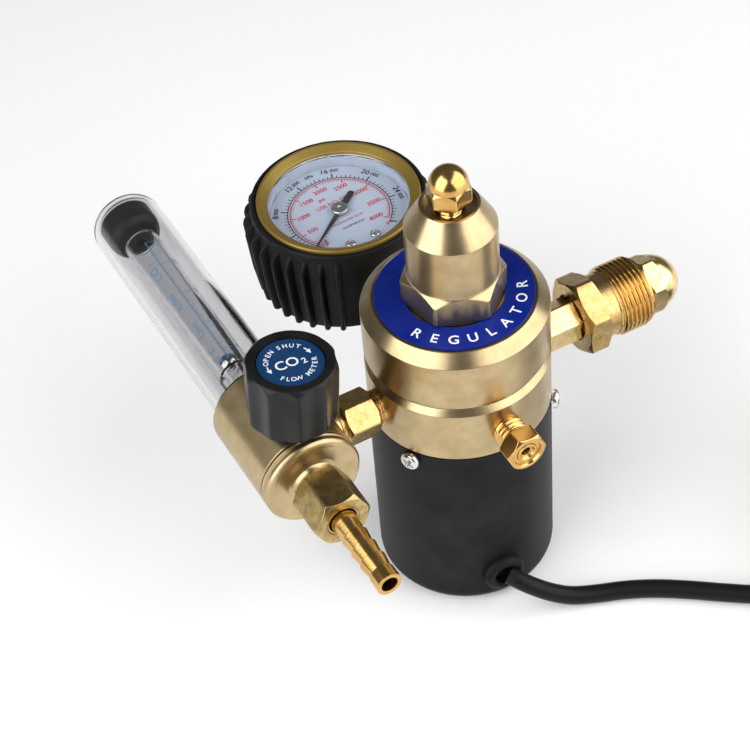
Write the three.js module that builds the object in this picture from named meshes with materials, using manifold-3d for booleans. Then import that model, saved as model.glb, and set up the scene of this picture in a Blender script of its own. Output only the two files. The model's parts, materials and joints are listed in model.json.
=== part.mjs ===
// A heated carbon dioxide regulator with a bottle gauge and a flowmeter, in millimetres, +Z up.
// The origin is the centre of the flat bottom of the heater housing, which it stands on.
// The inlet points to +X, the gauge to +Y, the outlet and flowmeter to -X, the relief valve to -Y.

import * as THREE from 'three';
import { mergeVertices } from 'three/addons/utils/BufferGeometryUtils.js';
import Module from 'manifold-3d';

const wasm = await Module();
wasm.setup();

// ---------- driving dimensions ----------

const GAP = 0.3; // between pieces that touch
const PORT_Z = 83; // height of the gauge, relief valve and outlet ports
const INLET_LIFT = 0.7; // how much higher the inlet port is
const BODY_R = 30; // regulator body and heater housing
const SIDES = { large: 26, medium: 18, small: 12, tiny: 8 }; // facets round a turned piece

const HOUSING = { top: 73.2, wall: 2.2, floor: 2.6, corner: 5.8 };
const HOUSING_SCREW = { z: 69.6, angles: [-152, -32, 88], shankR: 1.5, headR: 3.2, headHeight: 2.2 };
const GROMMET = { z: 14.3, angle: -96, flangeR: 7.2, neckR: 5.2, cordR: 3.5, proud: 2.6 };

const LOWER = {
  bottom: 73.5, edge: 92.6, top: 94.8, topR: 28.2, skirtBottom: 63, skirtR: 27.4, skirtWall: 3.4,
};
const CHAMBER = { r: 19, bottom: 88 };
const VALVE_BORE = { r: 7, top: 85, orificeR: 2.4 };
const BONNET = {
  bottom: 95.1, groove: 97.7, grooveR: 28.6, edge: 113.9, top: 117.6, topR: 26.3, cavityR: 20,
};
const LABEL = { innerR: 17.4, outerR: 25, thickness: 0.4 };
const NOSE = { plugR: 13.4, plugBottom: 110, hexFlats: 29.4, hexTop: 128.8, skirtR: 14.4, skirtTop: 146.7 };
const NOSE_MOUTH = { top: 155.2, outerR: 9.3, r: 8.5, floor: 152.6, roof: 147.5, springBoreR: 11 };

const SCREW_R = 4; // pressure adjusting screw
const ACORN = { bottom: 156.5, hexTop: 162.4, flats: 12.4, domeR: 6.2, turn: -12 };
const BUTTON = { bottom: 138.3, height: 3, r: 9.6 };
const RANGE_SPRING = { bottom: 98.8, top: 138, r: 7.6, wireR: 1.3, turns: 7 };
const DIAPHRAGM = { z: 95.25, thickness: 0.8, r: 24 };
const PLATE = { bottom: 96.4, thickness: 2, r: 14 };
const POPPET = { top: 94.9, stemR: 1.2, headTop: 82.2, headBottom: 79.4, headR: 4 };
const SEAT = { bottom: 82.5, top: 84.7, r: 6.7, holeR: 1.9 };
const POPPET_SPRING = { bottom: 75.7, top: 79, r: 3, wireR: 0.4, turns: 3 };

const HEATER = { bottom: 12, top: 61, r: 19, bossR: 6.6, bossTop: 75.1, gasR: 2.2 };
const CARTRIDGE = { x: 11, r: 3.2, length: 36 };

const INLET_STEM = {
  start: 27, threadR: 6, hexStart: 30.4, hexEnd: 44, flats: 13.5, spindleR: 6.4, end: 65, boreR: 2.5,
};
const INLET_NUT = {
  start: 43, hexEnd: 51, flats: 24.2, neckR: 10.9, neckEnd: 55.4, threadR: 12.1, turn: -27,
};
const INLET_THREAD = { end: 68.2, pitch: 1.65, depth: 1 };
const INLET_NOSE = { start: 65.3, collarR: 8.4, collarEnd: 69, flats: 18, hexEnd: 73.5, domeR: 9.3 };
const FILTER = { start: 66, end: 71, r: 2.1 };

const GAUGE = { y: 78.85, caseR: 25.2, caseBottom: 68, wall: 1 };
const BEZEL = { innerR: 24.2, outerR: 28.1, bottom: 96.5, innerTop: 97.6, top: 99.3 };
const LENS = { bottom: 94.6, thickness: 1.6, r: 24.9 };
const DIAL = { bottom: 90, thickness: 0.6, r: 23.8, holeR: 1.6 };
const DIAL_SCREW = { x: 0.1, y: -16.3, apart: 4.7, r: 1.7 };
const NEEDLE = {
  z: 91.2, thickness: 0.5, tip: 19.5, tail: 11, hubR: 2.6, hubTop: 93.5, arborR: 0.9, zeroAngle: -142,
};
const BOOT = {
  bottom: 64, bottomR: 28.4, bandBottom: 89, top: 98.4, topR: 30.2, bore: 28.5, ribs: 29, ribStart: -56,
  ribSpan: 296, ribBottomR: 29.9, ribMiddle: 76, ribMiddleR: 32.1, ribTopR: 33.3, ribTop: 92.5, ribWidth: 2,
};
const GAUGE_STEM = { start: 27, end: 57, boreR: 1.5, r: 5, flats: 11, hexStart: 31, hexEnd: 45 };
const PINION_R = 1.7;
const SECTOR = {
  r: 10.2, thickness: 1, z: 80, spread: 64, pivotR: 1.2, mesh: 0.15, toPinion: 90, rest: -22.5,
};
const BOURDON = { r: 17.5, z: 75.2, thickness: 1.8, height: 4.4, sweep: 262 };

const RELIEF = {
  stubStart: 27, stubEnd: 36, stubR: 5.2, boreR: 3, pitch: 1.6, depth: 0.5,
  spring: { r: 2, wireR: 0.35, bottom: 31.3, top: 39.9, turns: 5 },
};
const RELIEF_CAP = { start: 36.3, end: 42.6, flats: 12.4, holeR: 1.5, recessR: 4.6, recess: 1, turn: -23 };
const RELIEF_POPPET = { start: 29, shoulder: 31, end: 41.2, headR: 2.7, stemR: 1.1 };

const OUTLET = {
  start: 27, threadEnd: 32.2, hexEnd: 43, flats: 14.5, end: 51, threadR: 6, tipR: 5.2, boreR: 2.4, turn: -12,
};

const FLOW_X = -61.4; // the axis of the tube, through PORT_Z and along Y
const FLOW_BODY = { front: -12.5, back: 21, r: 16.3, socketDepth: 9, passageR: 2.2 };
const END_CAP = { front: -17, neckEnd: -25.5, neckR: 6.5, plugR: 11, plugDepth: 3.5, grooveDepth: 0.8 };
const FLOW_TUBE = { end: 127, r: 12.6, wall: 2.2, seal: 1.4 };
const METERING_TUBE = { start: 13, ballSeat: 37.3, end: 109, startR: 3.6, endR: 4.9, outerR: 6.2 };
const STOPPER = { nib: 109.3, nibR: 5, start: 112, end: 124, r: 9.5 };
const BALL = { r: 3.2, y: 40.8 };
// The knob, its stem and its gland stand on the flowmeter, with heights measured from the tube's axis.
const KNOB = {
  y: -3.3, lean: 4.2, top: 40, height: 21.5, topR: 14.75, bottomR: 14.3, lobes: 10, lobeDepth: 0.85,
};
const KNOB_DISC = { r: 10.4, thickness: 0.6, recess: 0.8 };
const GLAND = { bottom: 12.5, hexBottom: 16.6, top: 22.2, flats: 13, threadR: 5.5, clearance: 1 };
const FLOW_STEM = { tip: 0, bottom: 4, r: 2.5, top: 33 };
const HOSE_NUT = { start: -20.5, end: -36, flats: 17.2, turn: 30 };
const BARB = {
  start: -26, flangeR: 7, flangeEnd: -30, firstRidge: -37.6, rootR: 3.6, ridgeR: 4.3, ridges: 4,
  ringStart: -59.6, ringR: 4.1, end: -64.4, boreR: 2.7,
};

const CORD_R = 3.15;
const COIL = { x: 152.9, y: -90.6, innerR: 28.8, outerR: 41.5, bottom: 0.9, top: 26.1 };
const TIE = { angle: 20, width: 5, thickness: 0.5, slack: 0.35 };
const PLUG = {
  angle: 170, r: 34, length: 38, width: 25, height: 16, pinLength: 19, pinR: 2.2, pinSpacing: 19,
};

// ---------- materials ----------

function material(color, roughness, metalness) {
  return new THREE.MeshStandardMaterial({ color, roughness, metalness });
}

const satinBrass = () => material(0xc9a96b, 0.35, 1);
const polishedBrass = () => material(0xd2a24c, 0.22, 1);
const steel = () => material(0xb9bcc0, 0.3, 1);
const aluminium = () => material(0xa9adb0, 0.4, 1);
const blackPlastic = () => material(0x17181a, 0.45, 0);
const blackRubber = () => material(0x101112, 0.8, 0);
const clearPlastic = () => material(0xd9dde0, 0.1, 0);
const blue = () => material(0x1d3fa8, 0.4, 0);

// ---------- shapes ----------

// A closed solid, with its shared corners merged and no flat triangles.
function solidOf(geometry) {
  const bare = new THREE.BufferGeometry();
  bare.setAttribute('position', geometry.attributes.position);
  bare.setIndex(geometry.index);
  const merged = mergeVertices(bare, 1e-3);
  const corners = merged.index.array;
  const kept = [];
  for (let i = 0; i < corners.length; i += 3) {
    const [a, b, c] = [corners[i], corners[i + 1], corners[i + 2]];
    if (a !== b && b !== c && c !== a) {
      kept.push(a, b, c);
    }
  }
  const vertProperties = merged.attributes.position.array;
  const triVerts = new Uint32Array(kept);
  return new wasm.Manifold(new wasm.Mesh({ numProp: 3, vertProperties, triVerts }));
}

function geometryOf(solid) {
  const { vertProperties, triVerts } = solid.getMesh();
  const geometry = new THREE.BufferGeometry();
  geometry.setAttribute('position', new THREE.BufferAttribute(vertProperties, 3));
  geometry.setIndex(new THREE.BufferAttribute(triVerts, 1));
  return geometry;
}

function joined(first, ...others) {
  return geometryOf(others.reduce((whole, other) => whole.add(solidOf(other)), solidOf(first)));
}

function cut(first, ...tools) {
  return geometryOf(tools.reduce((whole, tool) => whole.subtract(solidOf(tool)), solidOf(first)));
}

function common(first, second) {
  return geometryOf(solidOf(first).intersect(solidOf(second)));
}

// A profile of [radius, height] corners turned about Z. It starts and ends on the axis or is a closed loop.
function turned(profile, sides = SIDES.medium) {
  const corners = profile.map(([r, z]) => new THREE.Vector2(r, z));
  if (THREE.ShapeUtils.area(corners) < 0) {
    corners.reverse();
  }
  if (corners[0].x > 0 || corners[corners.length - 1].x > 0) {
    corners.push(corners[0].clone());
  }
  return new THREE.LatheGeometry(corners, sides).rotateX(Math.PI / 2);
}

function rod(r, bottom, top, sides = SIDES.small) {
  return turned([[0, bottom], [r, bottom], [r, top], [0, top]], sides);
}

function ring(innerR, outerR, bottom, top, sides = SIDES.medium) {
  return turned([[innerR, bottom], [outerR, bottom], [outerR, top], [innerR, top]], sides);
}

// A hexagonal bar whose corners are turned off at both ends.
function hexagon(flats, bottom, top, chamfer = 0.8) {
  const corner = flats / Math.sqrt(3);
  const bar = new THREE.CylinderGeometry(corner, corner, top - bottom, 6);
  bar.rotateX(Math.PI / 2).translate(0, 0, (bottom + top) / 2);
  const faceR = flats / 2 - 0.1;
  const wide = faceR + 2 * chamfer;
  const envelope = turned(
    [
      [0, bottom], [faceR, bottom], [wide, bottom + chamfer],
      [wide, top - chamfer], [faceR, top], [0, top],
    ],
    SIDES.small,
  );
  return common(bar, envelope);
}

// The corners of a V thread's outline, from start to end along the axis.
function threadCorners(r, start, end, pitch, depth) {
  const turns = Math.floor(Math.abs(end - start) / pitch);
  const step = (end - start) / turns;
  const corners = [];
  for (let i = 0; i < turns; i += 1) {
    corners.push([r - depth, start + i * step], [r, start + (i + 0.5) * step]);
  }
  corners.push([r - depth, end]);
  return corners;
}

// Points of a quarter circle from the direction `from` to `to`, in degrees, about a centre.
function arcCorners(centreR, centreZ, r, from, to, steps) {
  const corners = [];
  for (let i = 0; i <= steps; i += 1) {
    const angle = radians(from + ((to - from) * i) / steps);
    corners.push([centreR + r * Math.cos(angle), centreZ + r * Math.sin(angle)]);
  }
  return corners;
}

// Turning a piece made along Z onto a port's axis.
const alongX = (geometry) => geometry.rotateY(Math.PI / 2);
const alongMinusX = (geometry) => geometry.rotateY(-Math.PI / 2);
const alongY = (geometry) => geometry.rotateX(-Math.PI / 2);
const alongMinusY = (geometry) => geometry.rotateX(Math.PI / 2);
const radians = THREE.MathUtils.degToRad;

class HelixCurve extends THREE.Curve {
  constructor(r, bottom, top, turns) {
    super();
    Object.assign(this, { r, bottom, top, turns });
  }

  getPoint(t, target = new THREE.Vector3()) {
    const angle = 2 * Math.PI * this.turns * t;
    const z = this.bottom + (this.top - this.bottom) * t;
    return target.set(this.r * Math.cos(angle), this.r * Math.sin(angle), z);
  }
}

class ArcCurve3 extends THREE.Curve {
  constructor(r, start, end) {
    super();
    Object.assign(this, { r, start, end });
  }

  getPoint(t, target = new THREE.Vector3()) {
    const angle = radians(this.start + (this.end - this.start) * t);
    return target.set(this.r * Math.cos(angle), this.r * Math.sin(angle), 0);
  }
}

function roundSection(r, sides) {
  const section = new THREE.Shape();
  for (let i = 0; i < sides; i += 1) {
    const angle = (2 * Math.PI * i) / sides;
    section[i ? 'lineTo' : 'moveTo'](r * Math.cos(angle), r * Math.sin(angle));
  }
  section.closePath();
  return section;
}

function spring({ r, wireR, bottom, top, turns }) {
  const path = new HelixCurve(r, bottom + wireR, top - wireR, turns);
  const options = { steps: 9 * turns, extrudePath: path, bevelEnabled: false };
  return new THREE.ExtrudeGeometry(roundSection(wireR, 5), options);
}

// ---------- assembly ----------

const regulator = new THREE.Group();
const portHeight = new THREE.Group();
portHeight.position.z = PORT_Z;
const inlet = new THREE.Group();
inlet.position.z = PORT_Z + INLET_LIFT;
const gauge = new THREE.Group();
gauge.position.y = GAUGE.y;
const flowmeter = new THREE.Group();
flowmeter.position.set(FLOW_X, 0, PORT_Z);
const knobGroup = new THREE.Group();
knobGroup.position.set(FLOW_X, KNOB.y, PORT_Z);
knobGroup.rotation.y = radians(KNOB.lean);
const coilGroup = new THREE.Group();
coilGroup.position.set(COIL.x, COIL.y, 0);
regulator.add(portHeight, inlet, gauge, flowmeter, knobGroup, coilGroup);

function addPart(name, geometry, finish, parent = regulator) {
  const mesh = new THREE.Mesh(geometry, finish);
  mesh.name = name;
  mesh.geometry.computeVertexNormals();
  parent.add(mesh);
  return mesh;
}

// ---------- heater housing ----------

function addHeaterHousing() {
  const { top, wall, floor, corner } = HOUSING;
  const cup = turned(
    [
      [0, 0], ...arcCorners(BODY_R - corner, corner, corner, -90, 0, 3), [BODY_R, top],
      [BODY_R - wall, top], [BODY_R - wall, corner + wall], [BODY_R - corner, floor], [0, floor],
    ],
    SIDES.large,
  );
  const cordHole = towardsGrommet(rod(GROMMET.neckR + GAP, BODY_R - 5, BODY_R + 5));
  const screwHoles = HOUSING_SCREW.angles.map((angle) => screwBore(angle, HOUSING_SCREW.shankR + GAP));
  addPart('heater_housing', cut(cup, cordHole, ...screwHoles), blackPlastic());
}

function screwBore(angle, r) {
  const bore = alongX(rod(r, BODY_R - 7, BODY_R + 5, SIDES.tiny)).translate(0, 0, HOUSING_SCREW.z);
  return bore.rotateZ(radians(angle));
}

function addHousingScrews() {
  const { z, angles, shankR, headR, headHeight } = HOUSING_SCREW;
  const seat = BODY_R + GAP;
  angles.forEach((angle, index) => {
    const profile = [
      [0, seat - 6], [shankR, seat - 6], [shankR, seat], [headR, seat],
      [headR, seat + headHeight * 0.5], [headR * 0.7, seat + headHeight], [0, seat + headHeight],
    ];
    const blade = new THREE.BoxGeometry(1.1, headR, 0.6 * headHeight);
    blade.translate(0, 0, seat + headHeight);
    const crossBlade = blade.clone().rotateZ(Math.PI / 2);
    const screw = alongX(cut(turned(profile, SIDES.tiny), blade, crossBlade));
    screw.translate(0, 0, z).rotateZ(radians(angle));
    addPart(`housing_screw_${index + 1}`, screw, steel());
  });
}

// Places a piece made along Z on the grommet's own axis, out through the housing wall.
function towardsGrommet(geometry) {
  return alongX(geometry).translate(0, 0, GROMMET.z).rotateZ(radians(GROMMET.angle));
}

function addGrommet() {
  const { flangeR, neckR, cordR, proud } = GROMMET;
  const face = BODY_R + GAP;
  const inside = BODY_R - HOUSING.wall - 2;
  const profile = [
    [cordR, inside], [neckR, inside], [neckR, face], [flangeR, face],
    [flangeR, face + proud * 0.5], [flangeR - 1.6, face + proud], [cordR, face + proud],
  ];
  const seatedOnHousing = rod(BODY_R + GAP, 0, HOUSING.top, SIDES.large);
  const throughWall = towardsGrommet(rod(neckR, 0, BODY_R + 2));
  const bedding = cut(seatedOnHousing, throughWall);
  const [start, next] = CORD_ROUTE.map((point) => new THREE.Vector3(...point));
  const heading = next.clone().sub(start).normalize();
  const slantedMouth = rod(cordR, -1, 2 * proud);
  const up = new THREE.Vector3(0, 0, 1);
  slantedMouth.applyQuaternion(new THREE.Quaternion().setFromUnitVectors(up, heading));
  slantedMouth.translate(...start.toArray());
  addPart('cord_grommet', cut(towardsGrommet(turned(profile)), bedding, slantedMouth), blackRubber());
}

function addHeater() {
  const { bottom, top, r, bossR, bossTop, gasR } = HEATER;
  const block = turned(
    [[0, bottom], [r, bottom], [r, top], [bossR, top], [bossR, bossTop], [0, bossTop]],
    SIDES.medium,
  );
  const gasPassage = rod(gasR, top - 10, bossTop + 1, SIDES.tiny);
  const crossPassage = alongX(rod(gasR, -r - 1, r + 1, SIDES.tiny)).translate(0, 0, top - 8);
  const { x, r: cartridgeR, length } = CARTRIDGE;
  const bore = rod(cartridgeR + GAP, bottom - 1, bottom + length);
  const bores = [-x, x].map((side) => bore.clone().translate(side, 0, 0));
  addPart('heater_block', cut(block, gasPassage, crossPassage, ...bores), aluminium());
  const cartridge = joined(
    rod(cartridgeR, bottom - 2, bottom + length - 1).translate(x, 0, 0),
    rod(cartridgeR, bottom - 2, bottom + length - 1).translate(-x, 0, 0),
    new THREE.BoxGeometry(2 * x, 3, 1.6).translate(0, 0, bottom - 1.2),
  );
  addPart('heater_cartridges', cartridge, steel());
}

// ---------- regulator body ----------

function addLowerBody() {
  const { bottom, edge, top, topR, skirtBottom, skirtR, skirtWall } = LOWER;
  const blank = turned(
    [
      [0, bottom], [skirtR - skirtWall, bottom], [skirtR - skirtWall, skirtBottom], [skirtR, skirtBottom],
      [skirtR, bottom], [BODY_R, bottom], [BODY_R, edge], [topR, top],
      [CHAMBER.r, top], [CHAMBER.r, CHAMBER.bottom], [0, CHAMBER.bottom],
    ],
    SIDES.large,
  );
  const valveBore = rod(VALVE_BORE.r, bottom - 5, VALVE_BORE.top);
  const orifice = rod(VALVE_BORE.orificeR, bottom, CHAMBER.bottom + 1, SIDES.tiny);
  const passageR = 2;
  const turnUp = CHAMBER.r - 3;
  const socket = (r, start) => rod(r + GAP, start - 1, BODY_R + 1);
  const highPressurePassage = () => rod(passageR, VALVE_BORE.r - 2, BODY_R, SIDES.tiny);
  const lowPressurePassage = () => rod(passageR, turnUp, BODY_R, SIDES.tiny);
  const ports = [
    alongX(socket(INLET_STEM.threadR, INLET_STEM.start)).translate(0, 0, INLET_LIFT),
    alongX(highPressurePassage()).translate(0, 0, INLET_LIFT),
    alongY(socket(GAUGE_STEM.r, GAUGE_STEM.start)),
    alongY(highPressurePassage()),
    alongMinusX(socket(OUTLET.threadR, OUTLET.start)),
    alongMinusX(lowPressurePassage()),
    alongMinusY(socket(RELIEF.stubR, RELIEF.stubStart)),
    alongMinusY(lowPressurePassage()),
    rod(passageR, 0, CHAMBER.bottom + 1 - PORT_Z, SIDES.tiny).translate(-turnUp, 0, 0),
    rod(passageR, 0, CHAMBER.bottom + 1 - PORT_Z, SIDES.tiny).translate(0, -turnUp, 0),
  ];
  ports.forEach((port) => port.translate(0, 0, PORT_Z));
  const screwHoles = HOUSING_SCREW.angles.map((angle) => screwBore(angle, HOUSING_SCREW.shankR + GAP));
  addPart('lower_body', cut(blank, valveBore, orifice, ...ports, ...screwHoles), satinBrass());
}

function addBonnet() {
  const { bottom, groove, grooveR, edge, top, topR, cavityR } = BONNET;
  const diaphragmR = DIAPHRAGM.r + GAP;
  const diaphragmRoof = DIAPHRAGM.z + DIAPHRAGM.thickness + GAP;
  const mouthR = NOSE.plugR + GAP;
  const bonnet = turned(
    [
      [diaphragmR, bottom], [grooveR, bottom], [grooveR, groove], [BODY_R, groove], [BODY_R, edge],
      [topR, top], [mouthR, top], [mouthR, NOSE.plugBottom], [cavityR, NOSE.plugBottom - 3],
      [cavityR, diaphragmRoof], [diaphragmR, diaphragmRoof],
    ],
    SIDES.large,
  );
  addPart('bonnet', bonnet, satinBrass());
  const label = ring(LABEL.innerR, LABEL.outerR, top + GAP, top + GAP + LABEL.thickness, SIDES.large);
  addPart('label_ring', label, blue());
}

function addSpringBonnet() {
  const { plugR, plugBottom, hexFlats, hexTop, skirtR, skirtTop } = NOSE;
  const { top, outerR, r, floor, roof, springBoreR } = NOSE_MOUTH;
  const seat = BONNET.top + GAP;
  const outside = turned(
    [
      [0, plugBottom], [plugR, plugBottom], [plugR, hexTop - 1], [skirtR, hexTop - 1],
      [skirtR, skirtTop], [outerR, top], [0, top],
    ],
    SIDES.medium,
  );
  const bore = turned(
    [
      [0, plugBottom - 1], [springBoreR, plugBottom - 1], [springBoreR, roof], [SCREW_R + GAP, roof],
      [SCREW_R + GAP, floor], [r, floor], [r, top + 1], [0, top + 1],
    ],
    SIDES.medium,
  );
  const nut = hexagon(hexFlats, seat, hexTop, 1.6).rotateZ(Math.PI / 18);
  addPart('spring_bonnet', cut(joined(outside, nut), bore), satinBrass());
}

function addAdjuster() {
  const { bottom, hexTop, flats, domeR, turn } = ACORN;
  const screw = turned(
    [
      [0, BUTTON.bottom + BUTTON.height + GAP], [SCREW_R - 1, BUTTON.bottom + BUTTON.height + GAP],
      [SCREW_R, BUTTON.bottom + BUTTON.height + 1.3], [SCREW_R, hexTop - 2], [0, hexTop - 2],
    ],
    SIDES.small,
  );
  addPart('adjusting_screw', screw, polishedBrass());
  const dome = turned([[0, hexTop - 0.2], ...arcCorners(0, hexTop, domeR, 0, 90, 5)]);
  const blind = rod(SCREW_R + GAP, bottom - 1, hexTop - 2 + GAP);
  const hex = hexagon(flats, bottom, hexTop + 0.6, 0.5).rotateZ(radians(turn));
  addPart('acorn_nut', cut(joined(hex, dome), blind), polishedBrass());
}

function addPressureParts() {
  const button = turned(
    [
      [0, BUTTON.bottom], [BUTTON.r, BUTTON.bottom], [BUTTON.r, BUTTON.bottom + 1.4],
      [SCREW_R + 1.5, BUTTON.bottom + BUTTON.height], [0, BUTTON.bottom + BUTTON.height],
    ],
  );
  addPart('spring_button', button, steel());
  addPart('range_spring', spring(RANGE_SPRING), steel());
  const { z, thickness, r } = DIAPHRAGM;
  addPart('diaphragm', rod(r, z, z + thickness, SIDES.medium), blackRubber());
  const plateTop = PLATE.bottom + PLATE.thickness;
  addPart('diaphragm_plate', rod(PLATE.r, PLATE.bottom, plateTop, SIDES.medium), aluminium());
}

function addValve() {
  const { top, stemR, headTop, headBottom, headR } = POPPET;
  const poppet = turned(
    [
      [0, headBottom], [headR, headBottom], [headR, headTop - 0.8], [stemR + 1, headTop],
      [stemR, headTop], [stemR, top], [0, top],
    ],
    SIDES.small,
  );
  addPart('valve_poppet', poppet, steel());
  addPart('valve_seat', ring(SEAT.holeR, SEAT.r, SEAT.bottom, SEAT.top, SIDES.small), blackRubber());
  addPart('poppet_spring', spring(POPPET_SPRING), steel());
}

// ---------- inlet ----------

function addInlet() {
  const { start, threadR, hexStart, hexEnd, flats, spindleR, end, boreR } = INLET_STEM;
  const spindle = turned(
    [
      [0, start], [threadR, start], [threadR, hexStart + 1], [spindleR, hexStart + 1],
      [spindleR, end], [0, end],
    ],
    SIDES.small,
  );
  const passage = rod(boreR, start - 1, end + 1, SIDES.tiny);
  const stem = alongX(cut(joined(spindle, hexagon(flats, hexStart, hexEnd, 0.4)), passage));
  addPart('inlet_stem', stem.rotateX(radians(INLET_NUT.turn)), polishedBrass(), inlet);
  addInletNut();
  addInletNose();
}

function addInletNut() {
  const { start, hexEnd, flats, neckR, neckEnd, threadR, turn } = INLET_NUT;
  const { end, pitch, depth } = INLET_THREAD;
  const sleeve = turned([
    [0, hexEnd - 2], [neckR, hexEnd - 2], [neckR, neckEnd],
    ...threadCorners(threadR, neckEnd, end, pitch, depth), [0, end],
  ]);
  const stemHexR = INLET_STEM.flats / Math.sqrt(3) + GAP;
  const bore = turned(
    [
      [0, start - 1], [stemHexR, start - 1], [stemHexR, INLET_STEM.hexEnd + GAP],
      [INLET_STEM.spindleR + GAP, INLET_STEM.hexEnd + GAP], [INLET_STEM.spindleR + GAP, end - 4],
      [INLET_NOSE.collarR + GAP, end - 4], [INLET_NOSE.collarR + GAP, end + 1], [0, end + 1],
    ],
    SIDES.small,
  );
  const nut = cut(joined(hexagon(flats, start, hexEnd, 2), sleeve), bore);
  addPart('inlet_nut', alongX(nut).rotateX(radians(turn)), polishedBrass(), inlet);
}

function addInletNose() {
  const { start, collarR, collarEnd, flats, hexEnd, domeR } = INLET_NOSE;
  const collar = rod(collarR, start, collarEnd);
  const dome = turned([[0, hexEnd - 0.4], ...arcCorners(0, hexEnd, domeR, 0, 90, 6)]);
  const hex = hexagon(flats, collarEnd - 0.2, hexEnd + 1, 0.6);
  const passage = rod(FILTER.r + GAP, start - 1, hexEnd + domeR + 1, SIDES.tiny);
  const nose = alongX(cut(joined(collar, hex, dome), passage)).rotateX(radians(INLET_NUT.turn));
  addPart('inlet_nose', nose, polishedBrass(), inlet);
  const filter = rod(FILTER.r, FILTER.start, FILTER.end, SIDES.tiny);
  addPart('inlet_filter', alongX(filter), satinBrass(), inlet);
}

// ---------- bottle pressure gauge ----------

function addGaugeShell() {
  const { caseR, caseBottom, wall } = GAUGE;
  const ledge = DIAL.bottom - GAP;
  const rim = LENS.bottom - GAP;
  const shell = turned(
    [
      [0, caseBottom], [caseR, caseBottom], [caseR, rim], [caseR - wall, rim], [caseR - wall, ledge],
      [caseR - wall - 2, ledge], [caseR - wall - 2, caseBottom + wall], [0, caseBottom + wall],
    ],
    SIDES.medium,
  );
  const stemHole = alongY(rod(GAUGE_STEM.r + GAP, 0, caseR + 1)).rotateZ(Math.PI).translate(0, 0, PORT_Z);
  addPart('gauge_case', cut(shell, stemHole), steel(), gauge);
  const bezel = turned(
    [
      [BEZEL.innerR, BEZEL.bottom], [BEZEL.outerR, BEZEL.bottom], [BEZEL.outerR, BEZEL.top - 0.6],
      [BEZEL.outerR - 0.5, BEZEL.top], [BEZEL.innerR, BEZEL.innerTop],
    ],
    SIDES.large,
  );
  addPart('gauge_bezel', bezel, material(0x8f7430, 0.45, 0.8), gauge);
  const lens = rod(LENS.r, LENS.bottom, LENS.bottom + LENS.thickness, SIDES.large);
  addPart('gauge_lens', lens, clearPlastic(), gauge);
}

function addDial() {
  const screwHoles = [-1, 1].map((side) => {
    const hole = rod(DIAL_SCREW.r * 0.5 + GAP, DIAL.bottom - 1, DIAL.bottom + 2, SIDES.tiny);
    return hole.translate(DIAL_SCREW.x + side * DIAL_SCREW.apart, DIAL_SCREW.y, 0);
  });
  const disc = ring(DIAL.holeR, DIAL.r, DIAL.bottom, DIAL.bottom + DIAL.thickness, SIDES.medium);
  addPart('gauge_dial', cut(disc, ...screwHoles), material(0xe6ebf2, 0.5, 0), gauge);
  const face = DIAL.bottom + DIAL.thickness + GAP;
  [-1, 1].forEach((side, index) => {
    const screw = turned(
      [
        [0, DIAL.bottom - 0.2], [DIAL_SCREW.r * 0.5, DIAL.bottom - 0.2], [DIAL_SCREW.r * 0.5, face],
        [DIAL_SCREW.r, face], [DIAL_SCREW.r * 0.7, face + 0.9], [0, face + 0.9],
      ],
      SIDES.tiny,
    );
    screw.translate(DIAL_SCREW.x + side * DIAL_SCREW.apart, DIAL_SCREW.y, 0);
    addPart(`dial_screw_${index + 1}`, screw, steel(), gauge);
  });
}

function addNeedle() {
  const { z, thickness, tip, tail, hubR, hubTop, arborR, zeroAngle } = NEEDLE;
  const outline = new THREE.Shape();
  outline.moveTo(tip, 0);
  outline.lineTo(0, 1.1);
  outline.lineTo(-tail + 4.6, 0.5);
  outline.lineTo(-tail + 4, 1.5);
  outline.lineTo(-tail, 1.3);
  outline.lineTo(-tail, -1.3);
  outline.lineTo(-tail + 4, -1.5);
  outline.lineTo(-tail + 4.6, -0.5);
  outline.lineTo(0, -1.1);
  const blade = new THREE.ExtrudeGeometry(outline, { depth: thickness, bevelEnabled: false });
  blade.translate(0, 0, z);
  const hub = rod(hubR, z - GAP, hubTop, SIDES.small);
  const arbor = rod(arborR, SECTOR.z - 1.5, z, SIDES.tiny);
  const pinion = rod(PINION_R, SECTOR.z - 0.6, SECTOR.z + SECTOR.thickness + 0.6, SIDES.small);
  const needle = joined(blade, hub, arbor, pinion).rotateZ(radians(zeroAngle));
  addPart('gauge_needle', needle, blackPlastic(), gauge);
}

// The toothed sector that turns the needle's pinion, with its pivot across the gauge from it.
function addSector() {
  const { r, thickness, z, spread, pivotR } = SECTOR;
  const half = radians(spread / 2);
  const outline = new THREE.Shape();
  outline.moveTo(-2.4, -1.6);
  outline.lineTo(r * Math.cos(half), -r * Math.sin(half));
  outline.absarc(0, 0, r, -half, half, false);
  outline.lineTo(-2.4, 1.6);
  const options = { depth: thickness, bevelEnabled: false, curveSegments: 14 };
  const plate = new THREE.ExtrudeGeometry(outline, options);
  const pivot = rod(pivotR, -3, thickness + 3, SIDES.tiny);
  const distance = r + PINION_R + SECTOR.mesh;
  const sector = joined(plate, pivot);
  sector.rotateZ(radians(SECTOR.rest + SECTOR.toPinion));
  const place = radians(SECTOR.toPinion + 180);
  sector.translate(distance * Math.cos(place), distance * Math.sin(place), z);
  addPart('gauge_sector', sector, satinBrass(), gauge);
}

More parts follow.
